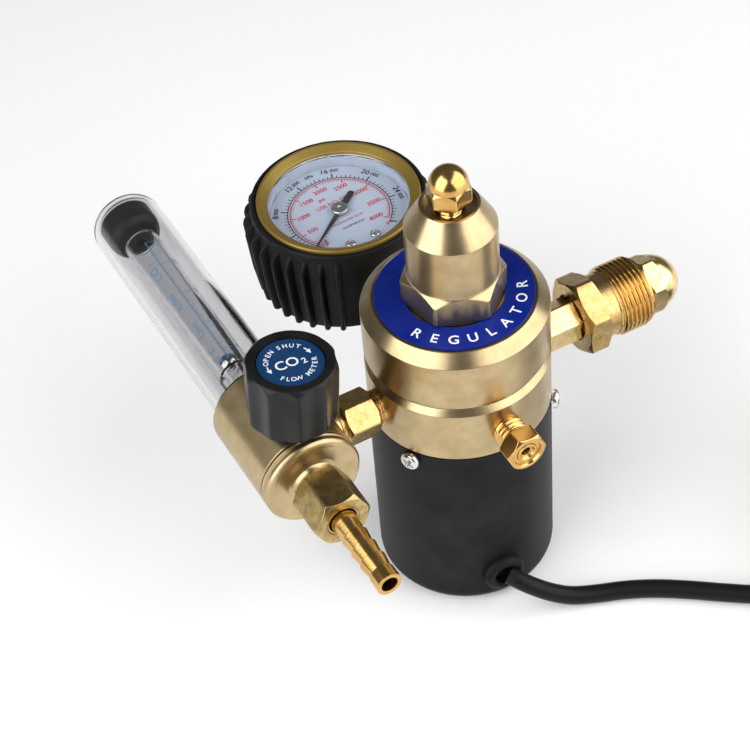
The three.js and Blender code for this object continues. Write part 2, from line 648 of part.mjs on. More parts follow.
function addBourdonTube() {
  const { r, z, thickness, height, sweep } = BOURDON;
  const section = new THREE.Shape();
  section.moveTo(-height / 2, -thickness / 2);
  section.lineTo(height / 2, -thickness / 2);
  section.lineTo(height / 2, thickness / 2);
  section.lineTo(-height / 2, thickness / 2);
  const path = new ArcCurve3(r, -90, -90 + sweep);
  const tube = new THREE.ExtrudeGeometry(section, { steps: 30, extrudePath: path, bevelEnabled: false });
  addPart('bourdon_tube', tube.translate(0, 0, z), satinBrass(), gauge);
}

function addGaugeStem() {
  const { start, end, boreR, r, flats, hexStart, hexEnd } = GAUGE_STEM;
  const bar = joined(rod(r, start, end), hexagon(flats, hexStart, hexEnd, 0.4));
  const stem = alongY(cut(bar, rod(boreR, start - 1, end + 1, SIDES.tiny)));
  addPart('gauge_stem', stem, polishedBrass(), portHeight);
}

// A rubber boot round the gauge: a smooth band above, upright ribs below, and none facing the body.
function addBoot() {
  const { bottom, bottomR, bandBottom, top, topR, bore, ribs, ribStart, ribSpan } = BOOT;
  const inside = GAUGE.caseR + GAP;
  const ledge = BEZEL.bottom - GAP;
  const shell = turned(
    [
      [inside - 3, bottom], [bottomR - 1, bottom], [bottomR, bottom + 1], [topR, bandBottom],
      [topR, top - 1], [topR - 0.7, top], [bore, top], [bore, ledge], [inside, ledge],
      [inside, GAUGE.caseBottom - GAP], [inside - 3, GAUGE.caseBottom - GAP],
    ],
    SIDES.large,
  );
  const ribBars = [];
  for (let i = 0; i < ribs; i += 1) {
    ribBars.push(bootRib().rotateZ(radians(ribStart + (i * ribSpan) / (ribs - 1))));
  }
  const stemHole = alongY(rod(GAUGE_STEM.flats / Math.sqrt(3) + GAP, 0, topR + 6));
  stemHole.rotateZ(Math.PI).translate(0, 0, PORT_Z);
  addPart('gauge_boot', cut(joined(shell, ...ribBars), stemHole), blackRubber(), gauge);
}

function bootRib() {
  const { bottom, bottomR, ribBottomR, ribMiddle, ribMiddleR, ribTopR, ribTop, ribWidth } = BOOT;
  const side = new THREE.Shape();
  side.moveTo(bottomR - 2, bottom);
  side.lineTo(ribBottomR, bottom);
  side.lineTo(ribMiddleR, ribMiddle);
  side.lineTo(ribTopR, ribTop - 5);
  side.lineTo(ribTopR - 0.8, ribTop - 2);
  side.lineTo(bottomR + 1, ribTop);
  side.lineTo(bottomR, ribTop);
  const bar = new THREE.ExtrudeGeometry(side, { depth: ribWidth, bevelEnabled: false });
  return bar.translate(0, 0, -ribWidth / 2).rotateX(Math.PI / 2);
}

// ---------- relief valve ----------

function addReliefValve() {
  const { stubStart, stubEnd, stubR, boreR, pitch, depth } = RELIEF;
  const stub = turned(
    [
      [boreR, stubStart], [stubR, stubStart], ...threadCorners(stubR, BODY_R + 0.6, stubEnd, pitch, depth),
      [boreR, stubEnd], [boreR, RELIEF_POPPET.start], [1.6, RELIEF_POPPET.start - GAP], [1.6, stubStart],
    ],
    SIDES.small,
  );
  addPart('relief_valve_body', alongMinusY(stub), polishedBrass(), portHeight);
  const { start, end, flats, holeR, recessR, recess, turn } = RELIEF_CAP;
  const bore = turned(
    [
      [0, start - 1], [boreR, start - 1], [boreR, end - 2.4], [holeR, end - 2.4],
      [holeR, end - recess], [recessR, end - recess], [recessR, end + 1], [0, end + 1],
    ],
    SIDES.small,
  );
  const cap = alongMinusY(cut(hexagon(flats, start, end, 0.7), bore)).rotateY(radians(turn));
  addPart('relief_valve_cap', cap, polishedBrass(), portHeight);
  const { start: seatZ, shoulder, end: tip, headR, stemR } = RELIEF_POPPET;
  const poppet = turned(
    [[0, seatZ], [headR, seatZ], [headR, shoulder], [stemR, shoulder], [stemR, tip - 2], [0, tip - 2]],
    SIDES.tiny,
  );
  addPart('relief_poppet', alongMinusY(poppet), steel(), portHeight);
  addPart('relief_spring', alongMinusY(spring(RELIEF.spring)), steel(), portHeight);
}

// ---------- flowmeter ----------

function addOutletFitting() {
  const { start, threadEnd, hexEnd, flats, end, threadR, tipR, boreR, turn } = OUTLET;
  const bar = turned(
    [
      [0, start], [threadR, start], ...threadCorners(threadR + 0.3, BODY_R + 0.4, threadEnd, 0.8, 0.3),
      [tipR, threadEnd], [tipR, end], [0, end],
    ],
    SIDES.small,
  );
  const passage = rod(boreR, start - 1, end + 1, SIDES.tiny);
  const fitting = alongMinusX(cut(joined(bar, hexagon(flats, threadEnd, hexEnd, 0.7)), passage));
  addPart('outlet_fitting', fitting.rotateX(radians(turn)), polishedBrass(), portHeight);
}

// The turned pieces of the flowmeter lie along Y: their heights grow towards the tube's far end.
function addFlowBody() {
  const { front, back, r, socketDepth, passageR } = FLOW_BODY;
  const tubeR = FLOW_TUBE.r + GAP;
  const blank = turned(
    [
      [0, front], [r, front], [r, back - 0.8], [r - 0.8, back], [tubeR, back],
      [tubeR, back - socketDepth], [0, back - socketDepth],
    ],
    SIDES.medium,
  );
  const plugSocket = rod(END_CAP.plugR + GAP, front - 1, front + END_CAP.plugDepth + GAP, SIDES.medium);
  const meteringSocket = rod(METERING_TUBE.outerR + GAP, METERING_TUBE.start - 2, back, SIDES.small);
  const alongTube = rod(passageR, front, back, SIDES.tiny);
  const body = alongY(cut(blank, plugSocket, meteringSocket, alongTube));
  const outletTip = -FLOW_X - OUTLET.end;
  const outletSocket = alongX(rod(OUTLET.tipR + GAP, outletTip - 1, r + 1));
  const outletPassage = alongX(rod(passageR, 0, outletTip, SIDES.tiny));
  const glandSocket = rod(GLAND.threadR + GAP, GLAND.bottom - GAP, r + 1);
  const stemBore = rod(FLOW_STEM.r + GAP, 0, r);
  [glandSocket, stemBore].forEach((bore) => bore.rotateY(radians(KNOB.lean)).translate(0, KNOB.y, 0));
  const finished = cut(body, outletSocket, outletPassage, glandSocket, stemBore);
  addPart('flowmeter_body', finished, satinBrass(), flowmeter);
}

function addEndCap() {
  const { front, neckEnd, neckR, plugR, plugDepth, grooveDepth } = END_CAP;
  const seat = FLOW_BODY.front - GAP;
  const { r, passageR } = FLOW_BODY;
  const profile = [
    [passageR, seat + plugDepth], [plugR, seat + plugDepth], [plugR, seat],
    [r, seat], [r, seat - 1], [r - grooveDepth, seat - 1.2], [r - grooveDepth, seat - 1.8], [r, seat - 2],
    [r, front + 1], [r - 1, front], [neckR, front], [neckR, neckEnd], [passageR, neckEnd],
  ];
  addPart('flowmeter_end_cap', alongY(turned(profile, SIDES.medium)), satinBrass(), flowmeter);
}

function addTubes() {
  const { end, r, wall, seal } = FLOW_TUBE;
  const start = FLOW_BODY.back - FLOW_BODY.socketDepth + GAP;
  const outer = turned(
    [
      [0, end], ...arcCorners(r - 6, end - 6, 6, 90, 0, 4), [r, start],
      [r - wall, start], [r - wall, end - 6], [r - wall - 3, end - 2], [0, end - 2],
    ],
    SIDES.medium,
  );
  addPart('flow_tube', alongY(outer), clearPlastic(), flowmeter);
  const sealStart = FLOW_BODY.back + GAP;
  const gasket = ring(r + GAP, FLOW_BODY.r - 0.6, sealStart, sealStart + seal, SIDES.medium);
  addPart('tube_gasket', alongY(gasket), blackRubber(), flowmeter);
  addMeteringTube();
  const { nib, nibR, start: shoulder, end: back, r: stopperR } = STOPPER;
  const stopper = turned(
    [
      [0, nib], [nibR, nib], [nibR, shoulder], [stopperR - 1, shoulder], [stopperR, shoulder + 1],
      [stopperR, back - 2], [stopperR - 3, back], [0, back],
    ],
    SIDES.small,
  );
  const vent = rod(1.5, nib - 1, back + 1, SIDES.tiny);
  addPart('tube_stopper', alongY(cut(stopper, vent)), blackRubber(), flowmeter);
}

// The metering tube widens towards its far end, and the float ball rests on the step in its bore.
function addMeteringTube() {
  const { start, ballSeat, end, startR, endR, outerR } = METERING_TUBE;
  const { passageR } = FLOW_BODY;
  const metering = turned(
    [
      [passageR, start], [outerR, start], [outerR, end], [endR, end],
      [startR, ballSeat], [passageR, ballSeat],
    ],
    SIDES.small,
  );
  addPart('metering_tube', alongY(metering), clearPlastic(), flowmeter);
  const ball = new THREE.SphereGeometry(BALL.r, 14, 8).translate(0, BALL.y, 0);
  addPart('float_ball', ball, steel(), flowmeter);
}

function addKnob() {
  const { top, height, topR, bottomR, lobes, lobeDepth } = KNOB;
  const base = top - height;
  const dishFloor = top - KNOB_DISC.recess - KNOB_DISC.thickness - GAP;
  const blank = turned(
    [
      [0, base], [bottomR - 0.8, base], [bottomR, base + 0.8], [topR, top - 1.6], [topR - 1.6, top], [0, top],
    ],
    4 * lobes,
  );
  const corners = blank.attributes.position;
  for (let i = 0; i < corners.count; i += 1) {
    const [x, y] = [corners.getX(i), corners.getY(i)];
    const r = Math.hypot(x, y);
    const wave = 0.5 - 0.5 * Math.cos(lobes * Math.atan2(y, x));
    const share = r > bottomR - 1 ? 1 - (lobeDepth * wave) / topR : 1;
    corners.setXY(i, x * share, y * share);
  }
  const dish = rod(KNOB_DISC.r + GAP, dishFloor, top + 1, SIDES.medium);
  const { flats: glandFlats, top: glandTop, clearance } = GLAND;
  const glandRoom = rod(glandFlats / Math.sqrt(3) + clearance, base - 1, glandTop + clearance, SIDES.small);
  const stemHole = rod(FLOW_STEM.r + GAP, base, FLOW_STEM.top + GAP, SIDES.tiny);
  addPart('flow_knob', cut(blank, dish, glandRoom, stemHole), blackPlastic(), knobGroup);
  const disc = rod(KNOB_DISC.r, dishFloor + GAP, dishFloor + GAP + KNOB_DISC.thickness, SIDES.medium);
  addPart('knob_disc', disc, blue(), knobGroup);
}

function addNeedleValve() {
  const { tip, bottom, r, top } = FLOW_STEM;
  const stem = turned([[0, tip], [r, bottom], [r, top], [0, top]], SIDES.tiny);
  addPart('flow_valve_stem', stem, steel(), knobGroup);
  const { hexBottom, top: glandTop, flats, threadR } = GLAND;
  const gland = joined(rod(threadR, GLAND.bottom, hexBottom + 0.5), hexagon(flats, hexBottom, glandTop, 0.8));
  const bore = rod(r + GAP, GLAND.bottom - 1, glandTop + 1, SIDES.small);
  addPart('valve_gland', cut(gland, bore), polishedBrass(), knobGroup);
}

function addHoseEnd() {
  const { start, end, flats, turn } = HOSE_NUT;
  const { rootR, ridgeR, ridges, ringR, boreR, flangeR, flangeEnd } = BARB;
  const flangeSeat = flangeEnd - GAP;
  const bore = turned(
    [
      [0, start + 1], [END_CAP.neckR + GAP, start + 1], [END_CAP.neckR + GAP, BARB.start + GAP],
      [flangeR + GAP, BARB.start + GAP], [flangeR + GAP, flangeSeat], [ridgeR + GAP, flangeSeat],
      [ridgeR + GAP, end - 1], [0, end - 1],
    ],
    SIDES.small,
  );
  const nut = alongY(cut(hexagon(flats, end, start, 1.4), bore)).rotateY(radians(turn));
  addPart('hose_nut', nut, polishedBrass(), flowmeter);
  const pitch = (BARB.ringStart - BARB.firstRidge) / ridges;
  const outline = [[boreR, BARB.start], [flangeR, BARB.start], [flangeR, flangeEnd], [rootR, flangeEnd]];
  for (let i = 0; i < ridges; i += 1) {
    const ridge = BARB.firstRidge + i * pitch;
    outline.push([ridgeR, ridge], [rootR, ridge + 0.98 * pitch]);
  }
  outline.push([ringR, BARB.ringStart], [ringR, BARB.end], [boreR, BARB.end]);
  addPart('hose_barb', alongY(turned(outline, SIDES.small)), polishedBrass(), flowmeter);
}

// ---------- power cord ----------

// The centre line of the cord from the grommet to its coil, lying on the bench.
const CORD_ROUTE = [
  [-2.4, -32.6, 14.2],
  [-0.4, -35.3, 13.1],
  [2.4, -37.8, 11.2],
  [5.6, -39.9, 9],
  [9.6, -42.2, 6.7],
  [14.9, -44.7, 4.6],
  [22.6, -47.6, 3.5],
  [31.2, -51, 3.3],
  [40.2, -55.8, 3.3],
  [49.6, -62.3, 3.3],
  [59.2, -69.8, 3.4],
  [69.6, -77.8, 3.7],
  [79.6, -85.2, 4.1],
  [88.6, -91.6, 4.2],
  [100.8, -100.3, 4.2],
  [113, -109, 4.2],
];

function addCord() {
  const points = CORD_ROUTE.map((point) => new THREE.Vector3(...point));
  const route = new THREE.CatmullRomCurve3(points, false, 'centripetal');
  const options = { steps: 26, extrudePath: route, bevelEnabled: false };
  addPart('power_cord', new THREE.ExtrudeGeometry(roundSection(CORD_R, 8), options), blackRubber());
  const { innerR, outerR, bottom, top } = COIL;
  const round = 2.5;
  const coil = turned(
    [
      [innerR, bottom + round], [innerR + round, bottom], [outerR - round, bottom], [outerR, bottom + round],
      [outerR, top - round], [outerR - round, top], [innerR + round, top], [innerR, top - round],
    ],
    SIDES.large,
  );
  addPart('cord_coil', coil, blackRubber(), coilGroup);
}

function addTie() {
  const { angle, width, thickness, slack } = TIE;
  const { innerR, outerR, bottom, top } = COIL;
  const middle = (innerR + outerR) / 2;
  const deep = (margin) => {
    const size = [outerR - innerR + 2 * margin, width, top - bottom + 2 * margin];
    return new THREE.BoxGeometry(...size).translate(middle, 0, (bottom + top) / 2);
  };
  const opening = deep(slack).scale(1, 2, 1);
  const tie = cut(deep(slack + thickness), opening).rotateZ(radians(angle));
  addPart('coil_tie', tie, blackRubber(), coilGroup);
}

function addPlug() {
  const { angle, r, length, width, height, pinLength, pinR, pinSpacing } = PLUG;
  const plug = new THREE.Group();
  plug.position.set(
    r * Math.cos(radians(angle)),
    r * Math.sin(radians(angle)),
    COIL.top + TIE.slack + height / 2,
  );
  plug.rotation.z = radians(angle + 90);
  coilGroup.add(plug);
  const outline = new THREE.Shape();
  const tail = 4.2;
  outline.moveTo(length / 2, -width / 2);
  outline.lineTo(length / 2, width / 2);
  outline.lineTo(length / 2 - 16, width / 2);
  outline.lineTo(-length / 2 + 4, tail);
  outline.lineTo(-length / 2, tail);
  outline.lineTo(-length / 2, -tail);
  outline.lineTo(-length / 2 + 4, -tail);
  outline.lineTo(length / 2 - 16, -width / 2);
  const body = new THREE.ExtrudeGeometry(outline, { depth: height, bevelEnabled: false });
  body.translate(0, 0, -height / 2);
  const pinHoles = [-1, 1].map((side) => {
    const hole = alongX(rod(pinR + GAP, length / 2 - 6, length / 2 + 1, SIDES.tiny));
    return hole.translate(0, (side * pinSpacing) / 2, 0);
  });
  addPart('plug_body', cut(body, ...pinHoles), blackPlastic(), plug);
  [-1, 1].forEach((side, index) => {
    const pin = turned(
      [
        [0, length / 2 - 5], [pinR, length / 2 - 5], [pinR, length / 2 + pinLength - 1.2],
        [pinR - 1.2, length / 2 + pinLength], [0, length / 2 + pinLength],
      ],
      SIDES.tiny,
    );
    addPart(`plug_pin_${index + 1}`, alongX(pin).translate(0, (side * pinSpacing) / 2, 0), steel(), plug);
  });
}

addHeaterHousing();
addHousingScrews();
addGrommet();
addHeater();
addLowerBody();
addBonnet();
addSpringBonnet();
addAdjuster();
addPressureParts();
addValve();
addInlet();
addGaugeShell();
addDial();
addNeedle();
addSector();
addBourdonTube();
addGaugeStem();
addBoot();
addReliefValve();
addOutletFitting();
addFlowBody();
addEndCap();
addTubes();
addKnob();
addNeedleValve();
addHoseEnd();
addCord();
addTie();
addPlug();

export default regulator;
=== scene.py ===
# The looks of a heated carbon dioxide regulator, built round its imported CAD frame.
# Lengths are millimetres until a mesh is made. +Z is up, +X runs out along the bottle inlet,
# +Y towards the gauge, -X to the outlet and flowmeter and -Y to the relief valve.

import json
import math

import bmesh
import bpy
from mathutils import Matrix, Vector


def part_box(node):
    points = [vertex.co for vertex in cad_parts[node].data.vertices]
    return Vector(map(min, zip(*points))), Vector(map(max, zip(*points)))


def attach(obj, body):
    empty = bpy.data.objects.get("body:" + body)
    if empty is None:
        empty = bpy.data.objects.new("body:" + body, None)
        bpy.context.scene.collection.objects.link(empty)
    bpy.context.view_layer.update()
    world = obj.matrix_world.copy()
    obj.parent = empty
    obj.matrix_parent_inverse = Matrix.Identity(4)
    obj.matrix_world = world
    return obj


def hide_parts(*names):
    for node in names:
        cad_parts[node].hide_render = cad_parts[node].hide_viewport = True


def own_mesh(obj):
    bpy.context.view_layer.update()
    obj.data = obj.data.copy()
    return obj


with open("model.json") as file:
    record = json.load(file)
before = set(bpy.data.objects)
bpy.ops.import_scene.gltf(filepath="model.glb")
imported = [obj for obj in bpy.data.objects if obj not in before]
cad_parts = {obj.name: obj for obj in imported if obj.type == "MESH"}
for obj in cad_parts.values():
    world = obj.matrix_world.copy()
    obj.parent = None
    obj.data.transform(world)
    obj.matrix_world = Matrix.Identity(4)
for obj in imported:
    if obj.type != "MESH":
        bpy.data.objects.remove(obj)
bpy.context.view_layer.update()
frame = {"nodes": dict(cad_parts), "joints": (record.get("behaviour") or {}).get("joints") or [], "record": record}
MM = 0.001
BODY = "regulator"
BODY_OF = {node: body for body, nodes in frame["record"]["behaviour"]["bodies"].items() for node in nodes}
SLOT_OF = {part["node"]: part["material_slot"] for part in frame["record"]["subparts"]}


def placed(name, data):
    """A new object in the scene."""
    made = bpy.data.objects.new(name, data)
    bpy.context.scene.collection.objects.link(made)
    return made


# ---------- camera ----------

CAMERA_AT = (-0.23163, -0.42943, 0.59127)
CAMERA_TURN = (43.738, 3.664, -29.017)  # degrees
CAMERA_LENS = 105.29

camera_data = bpy.data.cameras.new("camera")
camera_data.lens = CAMERA_LENS
camera_data.sensor_width = 36
camera = placed("camera", camera_data)
camera.location = CAMERA_AT
camera.rotation_euler = [math.radians(angle) for angle in CAMERA_TURN]
bpy.context.scene.camera = camera


# ---------- places, from the frame ----------

def low(node):
    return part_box(node)[0] / MM


def high(node):
    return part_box(node)[1] / MM


def middle(node):
    return (low(node) + high(node)) / 2


def axis_at(point, towards):
    """The matrix that takes a piece made round Z onto an axis through point, in millimetres."""
    turn = Vector((0, 0, 1)).rotation_difference(Vector(towards))
    return Matrix.Translation(point) @ turn.to_matrix().to_4x4()


def facing(centre, towards):
    """The matrix that puts a piece at centre, upright, with its +X turned towards a direction."""
    return Matrix.Translation(centre) @ Matrix.Rotation(math.atan2(towards.y, towards.x), 4, "Z")


def joint(name):
    return next(j for j in frame["joints"] if j["name"] == name)


def joint_axis(name):
    return axis_at(Vector(joint(name)["pos_m"]) / MM, joint(name)["axis"])


def corners_about(node, axis):
    """The corners of a CAD node, in millimetres, as they lie about an axis."""
    inverse = axis.inverted()
    return [inverse @ (v.co / MM) for v in frame["nodes"][node].data.vertices]


def corner_angle(node, axis, start, end):
    """Where the sharpest corner of a CAD node lies round an axis, between two heights along it."""
    corners = [c for c in corners_about(node, axis) if start <= c.z <= end]
    widest = max(corners, key=lambda c: c.xy.length)
    return math.atan2(widest.y, widest.x)


GAUGE_AXIS = axis_at((middle("gauge_lens").x, middle("gauge_lens").y, 0), (0, 0, 1))
PORT_Z = middle("gauge_stem").z
BODY_AXIS = Matrix.Identity(4)
INLET_AXIS = axis_at((0, 0, middle("inlet_nose").z), (1, 0, 0))
OUTLET_AXIS = axis_at((0, 0, PORT_Z), (-1, 0, 0))
RELIEF_AXIS = axis_at((0, 0, PORT_Z), (0, -1, 0))
FLOW_AXIS = axis_at((middle("float_ball").x, 0, middle("float_ball").z), (0, 1, 0))
KNOB_AXIS = joint_axis("flow_knob_turn")

# ---------- materials ----------

class Nodes:
    """A material's node tree, with short ways to add and feed nodes."""

    def __init__(self, name):
        self.material = bpy.data.materials.new(name)
        self.material.use_nodes = True
        self.tree = self.material.node_tree
        self.shader = self.tree.nodes["Principled BSDF"]

    def feed(self, socket, value):
        if isinstance(value, bpy.types.NodeSocket):
            self.tree.links.new(value, socket)
        else:
            socket.default_value = value

    def add(self, kind, inputs=None, **settings):
        node = self.tree.nodes.new("ShaderNode" + kind)
        for key, value in settings.items():
            setattr(node, key, value)
        for socket, value in (inputs or {}).items():
            self.feed(node.inputs[socket], value)
        return node

    def local(self):
        """A point of the piece in millimetres, with Z along the piece's own axis."""
        return self.add("Attribute", attribute_name="local").outputs["Vector"]

    def place(self):
        """A point of the object in metres."""
        return self.add("TexCoord").outputs["Object"]

    def math(self, operation, first, second=0.0):
        return self.add("Math", {0: first, 1: second}, operation=operation).outputs[0]

    def total(self, base, *parts):
        """base, plus each part's value times its weight."""
        for value, weight in parts:
            base = self.math("ADD", self.math("MULTIPLY", value, weight), base)
        return base

    def noise(self, vector, scale, detail=3.0, roughness=0.5):
        inputs = {"Vector": vector, "Scale": scale, "Detail": detail, "Roughness": roughness}
        return self.add("TexNoise", inputs).outputs["Fac"]

    def scaled(self, vector, scale):
        return self.add("VectorMath", {0: vector, 1: scale}, operation="MULTIPLY").outputs[0]

    def spread(self, value, low, high, to_low=0.0, to_high=1.0):
        inputs = {"Value": value, 1: low, 2: high, 3: to_low, 4: to_high}
        return self.add("MapRange", inputs).outputs[0]

    def mixed(self, share, first, second, blend="MIX"):
        node = self.add("Mix", data_type="RGBA", blend_type=blend)
        for index, value in ((0, share), (6, first), (7, second)):
            self.feed(node.inputs[index], value)
        return node.outputs[2]

    def bump(self, height, strength, distance=0.0001):
        inputs = {"Height": height, "Strength": strength, "Distance": distance}
        self.feed(self.shader.inputs["Normal"], self.add("Bump", inputs).outputs[0])

    def set(self, **values):
        for key, value in values.items():
            self.feed(self.shader.inputs[key.replace("_", " ")], value)

    def colour(self, value):
        self.feed(self.shader.inputs["Base Color"], value)


def turning_marks(nodes):
    """Fine rings left by the lathe: noise that changes along the radius and the axis only."""
    split = nodes.add("SeparateXYZ", {0: nodes.local()})
    flat = nodes.add("CombineXYZ", {0: split.outputs[0], 1: split.outputs[1]}).outputs[0]
    radius = nodes.add("VectorMath", {0: flat}, operation="LENGTH").outputs["Value"]
    rings = nodes.add("CombineXYZ", {0: radius, 1: split.outputs[2]}).outputs[0]
    return nodes.noise(rings, 3.2, 4.0, 0.7)


def machined(name, colours, rough, streak, axis="Z", ring=0.3, spots=0.2):
    """Turned, polished metal: rings from the lathe, faint stains, small dark spots, a streaked shine."""
    nodes = Nodes(f"{name}_{axis}")
    rings = turning_marks(nodes)
    stain = nodes.noise(nodes.local(), 0.16, 3.0)
    speck = nodes.noise(nodes.local(), 1.5, 5.0, 0.75)
    dark, light = ([*colour, 1] for colour in colours)
    colour = nodes.mixed(nodes.spread(stain, 0.35, 0.7), dark, light)
    deeper = [0.5 * c for c in dark[:3]] + [1]
    colour = nodes.mixed(nodes.spread(speck, 0.56, 0.72, 0, spots), colour, deeper)
    colour = nodes.mixed(nodes.spread(rings, 0.4, 0.62, 0, 0.16), colour, light)
    nodes.colour(colour)
    uneven = nodes.total(rough - 0.11, (rings, 0.12), (speck, 0.1))
    nodes.set(Metallic=1.0, Roughness=uneven, Anisotropic=streak)
    if streak:
        nodes.set(Anisotropic_Rotation=0.25)
        tangent = nodes.add("Tangent", direction_type="RADIAL", axis=axis).outputs[0]
        nodes.feed(nodes.shader.inputs["Tangent"], tangent)
    nodes.bump(nodes.total(rings, (speck, 0.4)), ring, 0.00006)
    return nodes.material


def mottled(name, colours, rough, spots=0.5):
    """Bare brass of hexagons, drawn and handled: cloudy, with darker spots and fine scratches."""
    nodes = Nodes(name)
    cloud = nodes.noise(nodes.local(), 0.35, 4.0, 0.6)
    speck = nodes.noise(nodes.scaled(nodes.local(), (1.0, 1.0, 0.55)), 1.5, 6.0, 0.8)
    grain = nodes.noise(nodes.scaled(nodes.local(), (3.0, 3.0, 0.2)), 2.2, 3.0)
    dark, light = ([*colour, 1] for colour in colours)
    colour = nodes.mixed(nodes.spread(cloud, 0.35, 0.65), dark, light)
    deeper = [0.35 * dark[0], 0.26 * dark[1], 0.2 * dark[2], 1]
    colour = nodes.mixed(nodes.spread(speck, 0.53, 0.68, 0, spots), colour, deeper)
    nodes.colour(colour)
    nodes.set(Metallic=1.0, Roughness=nodes.total(rough - 0.18, (speck, 0.25), (grain, 0.12)))
    nodes.bump(nodes.math("ADD", grain, speck), 0.28, 0.00007)
    return nodes.material


def moulded(name, colour, rough, grain=0.15, scale=6.0, coat=0.0, dust=0.25, metallic=0.0, shine=0.5):
    """Plastic, rubber or paint: a fine grain, an uneven shine and a little dust."""
    nodes = Nodes(name)
    fine = nodes.noise(nodes.local(), scale, 2.0)
    broad = nodes.noise(nodes.local(), 0.09, 3.0)
    speck = nodes.noise(nodes.local(), 1.1, 6.0, 0.8)
    base = [*colour, 1]
    paler = [c + 0.02 * (1 - c) for c in colour] + [1]
    tinted = nodes.mixed(nodes.spread(broad, 0.35, 0.7, 0, 0.35), base, paler)
    nodes.colour(nodes.mixed(nodes.spread(speck, 0.62, 0.74, 0, dust), tinted, paler))
    uneven = nodes.total(rough - 0.12, (broad, 0.16), (fine, 0.08))
    nodes.set(Roughness=uneven, Metallic=metallic, Specular_IOR_Level=shine)
    if coat:
        nodes.set(Coat_Weight=coat, Coat_Roughness=0.12)
    nodes.bump(fine, grain, 0.00005)
    return nodes.material


def clear(name, tint):
    """Glass or acrylic with faint smears, which lets the lamps light what is behind it."""
    nodes = Nodes(name)
    smear = nodes.noise(nodes.scaled(nodes.local(), (1.0, 1.0, 0.2)), 0.6, 3.0)
    nodes.colour([*tint, 1])
    uneven = nodes.spread(smear, 0.45, 0.8, 0.0, 0.05)
    nodes.set(Transmission_Weight=1.0, IOR=1.47, Roughness=uneven)
    passing = nodes.add("BsdfTransparent", {"Color": [*tint, 1]})
    shadow = nodes.add("LightPath").outputs["Is Shadow Ray"]
    mix = nodes.add("MixShader", {0: shadow, 1: nodes.shader.outputs[0], 2: passing.outputs[0]})
    nodes.feed(nodes.tree.nodes["Material Output"].inputs["Surface"], mix.outputs[0])
    return nodes.material


SATIN = ((0.41, 0.31, 0.165), (0.51, 0.395, 0.225))
FITTING = ((0.47, 0.31, 0.105), (0.62, 0.45, 0.2))
GOLD = ((0.52, 0.3, 0.09), (0.66, 0.44, 0.165))
SATIN_BRASS = {axis: machined("satin_brass", SATIN, 0.3, 0.55, axis) for axis in "XYZ"}
GOLD_BRASS = {axis: machined("gold_brass", GOLD, 0.2, 0.3, axis, 0.2, 0.35) for axis in "XYZ"}
FITTING_BRASS = mottled("fitting_brass", FITTING, 0.27, 0.5)
NOSE_BRASS = mottled("nose_brass", ((0.66, 0.48, 0.2), (0.85, 0.66, 0.34)), 0.22, 0.2)
OLIVE_BRASS = mottled("olive_brass", ((0.3, 0.22, 0.09), (0.5, 0.37, 0.16)), 0.3, 0.4)
BEZEL_GOLD = moulded("bezel_gold", (0.27, 0.18, 0.035), 0.42, 0.2, 5.0, dust=0.1, metallic=0.55)
STEEL = machined("bright_steel", ((0.55, 0.54, 0.52), (0.75, 0.74, 0.72)), 0.2, 0.0, spots=0.3)
HUB_GREY = machined("hub_grey", ((0.45, 0.44, 0.42), (0.6, 0.59, 0.57)), 0.32, 0.0, spots=0.1)
CHROME = machined("chrome", ((0.72, 0.71, 0.7), (0.85, 0.85, 0.85)), 0.13, 0.0, ring=0.05, spots=0.05)
ALUMINIUM = machined("aluminium", ((0.6, 0.61, 0.62), (0.75, 0.76, 0.77)), 0.35, 0.0)
HOUSING_BLACK = moulded("housing_black", (0.007, 0.007, 0.0075), 0.42, 0.35, 9.0, dust=0.05, shine=0.08)
RUBBER_BLACK = moulded("rubber_black", (0.004, 0.004, 0.0045), 0.5, 0.3, 4.0, dust=0.1, shine=0.12)
CORD_BLACK = moulded("cord_black", (0.005, 0.005, 0.0055), 0.38, 0.15, 3.0, dust=0.08, shine=0.13)
KNOB_BLACK = moulded("knob_black", (0.006, 0.006, 0.0065), 0.28, 0.08, 5.0, coat=0.03, dust=0.06, shine=0.16)
PLUG_BLACK = moulded("plug_black", (0.008, 0.008, 0.009), 0.45, 0.4, 6.0, dust=0.15, shine=0.3)
STOPPER_BLACK = moulded("stopper_black", (0.006, 0.006, 0.007), 0.4, 0.2, 4.0, dust=0.25, shine=0.2)
DIAL_WHITE = moulded("dial_white", (0.31, 0.345, 0.41), 0.5, 0.05, 3.0, dust=0.0)
LABEL_BLUE = moulded("label_blue", (0.001, 0.013, 0.2), 0.32, 0.08, 3.0, dust=0.02, shine=0.22)
DISC_BLUE = moulded("disc_blue", (0.003, 0.035, 0.115), 0.33, 0.1, 3.0, dust=0.08, shine=0.25)
PRINT_WHITE = moulded("print_white", (0.78, 0.8, 0.86), 0.45, 0.1, 3.0)
PRINT_BLACK = moulded("print_black", (0.008, 0.01, 0.016), 0.5, 0.1, 3.0, dust=0.05, shine=0.2)
PRINT_RED = moulded("print_red", (0.36, 0.015, 0.02), 0.5, 0.1, 3.0, dust=0.05, shine=0.3)
PRINT_TUBE = moulded("print_tube", (0.03, 0.16, 0.33), 0.5, 0.1, 3.0, dust=0.1)
NEEDLE_BLACK = moulded("needle_black", (0.01, 0.01, 0.011), 0.42, 0.1, 5.0, shine=0.3)
ACRYLIC = clear("acrylic", (0.82, 0.82, 0.83))
LENS_GLASS = clear("lens_glass", (0.97, 0.985, 1.0))

# ---------- meshes ----------

def mesh_of(built, name):
    mesh = bpy.data.meshes.new(name)
    built.to_mesh(mesh)
    built.free()
    return mesh


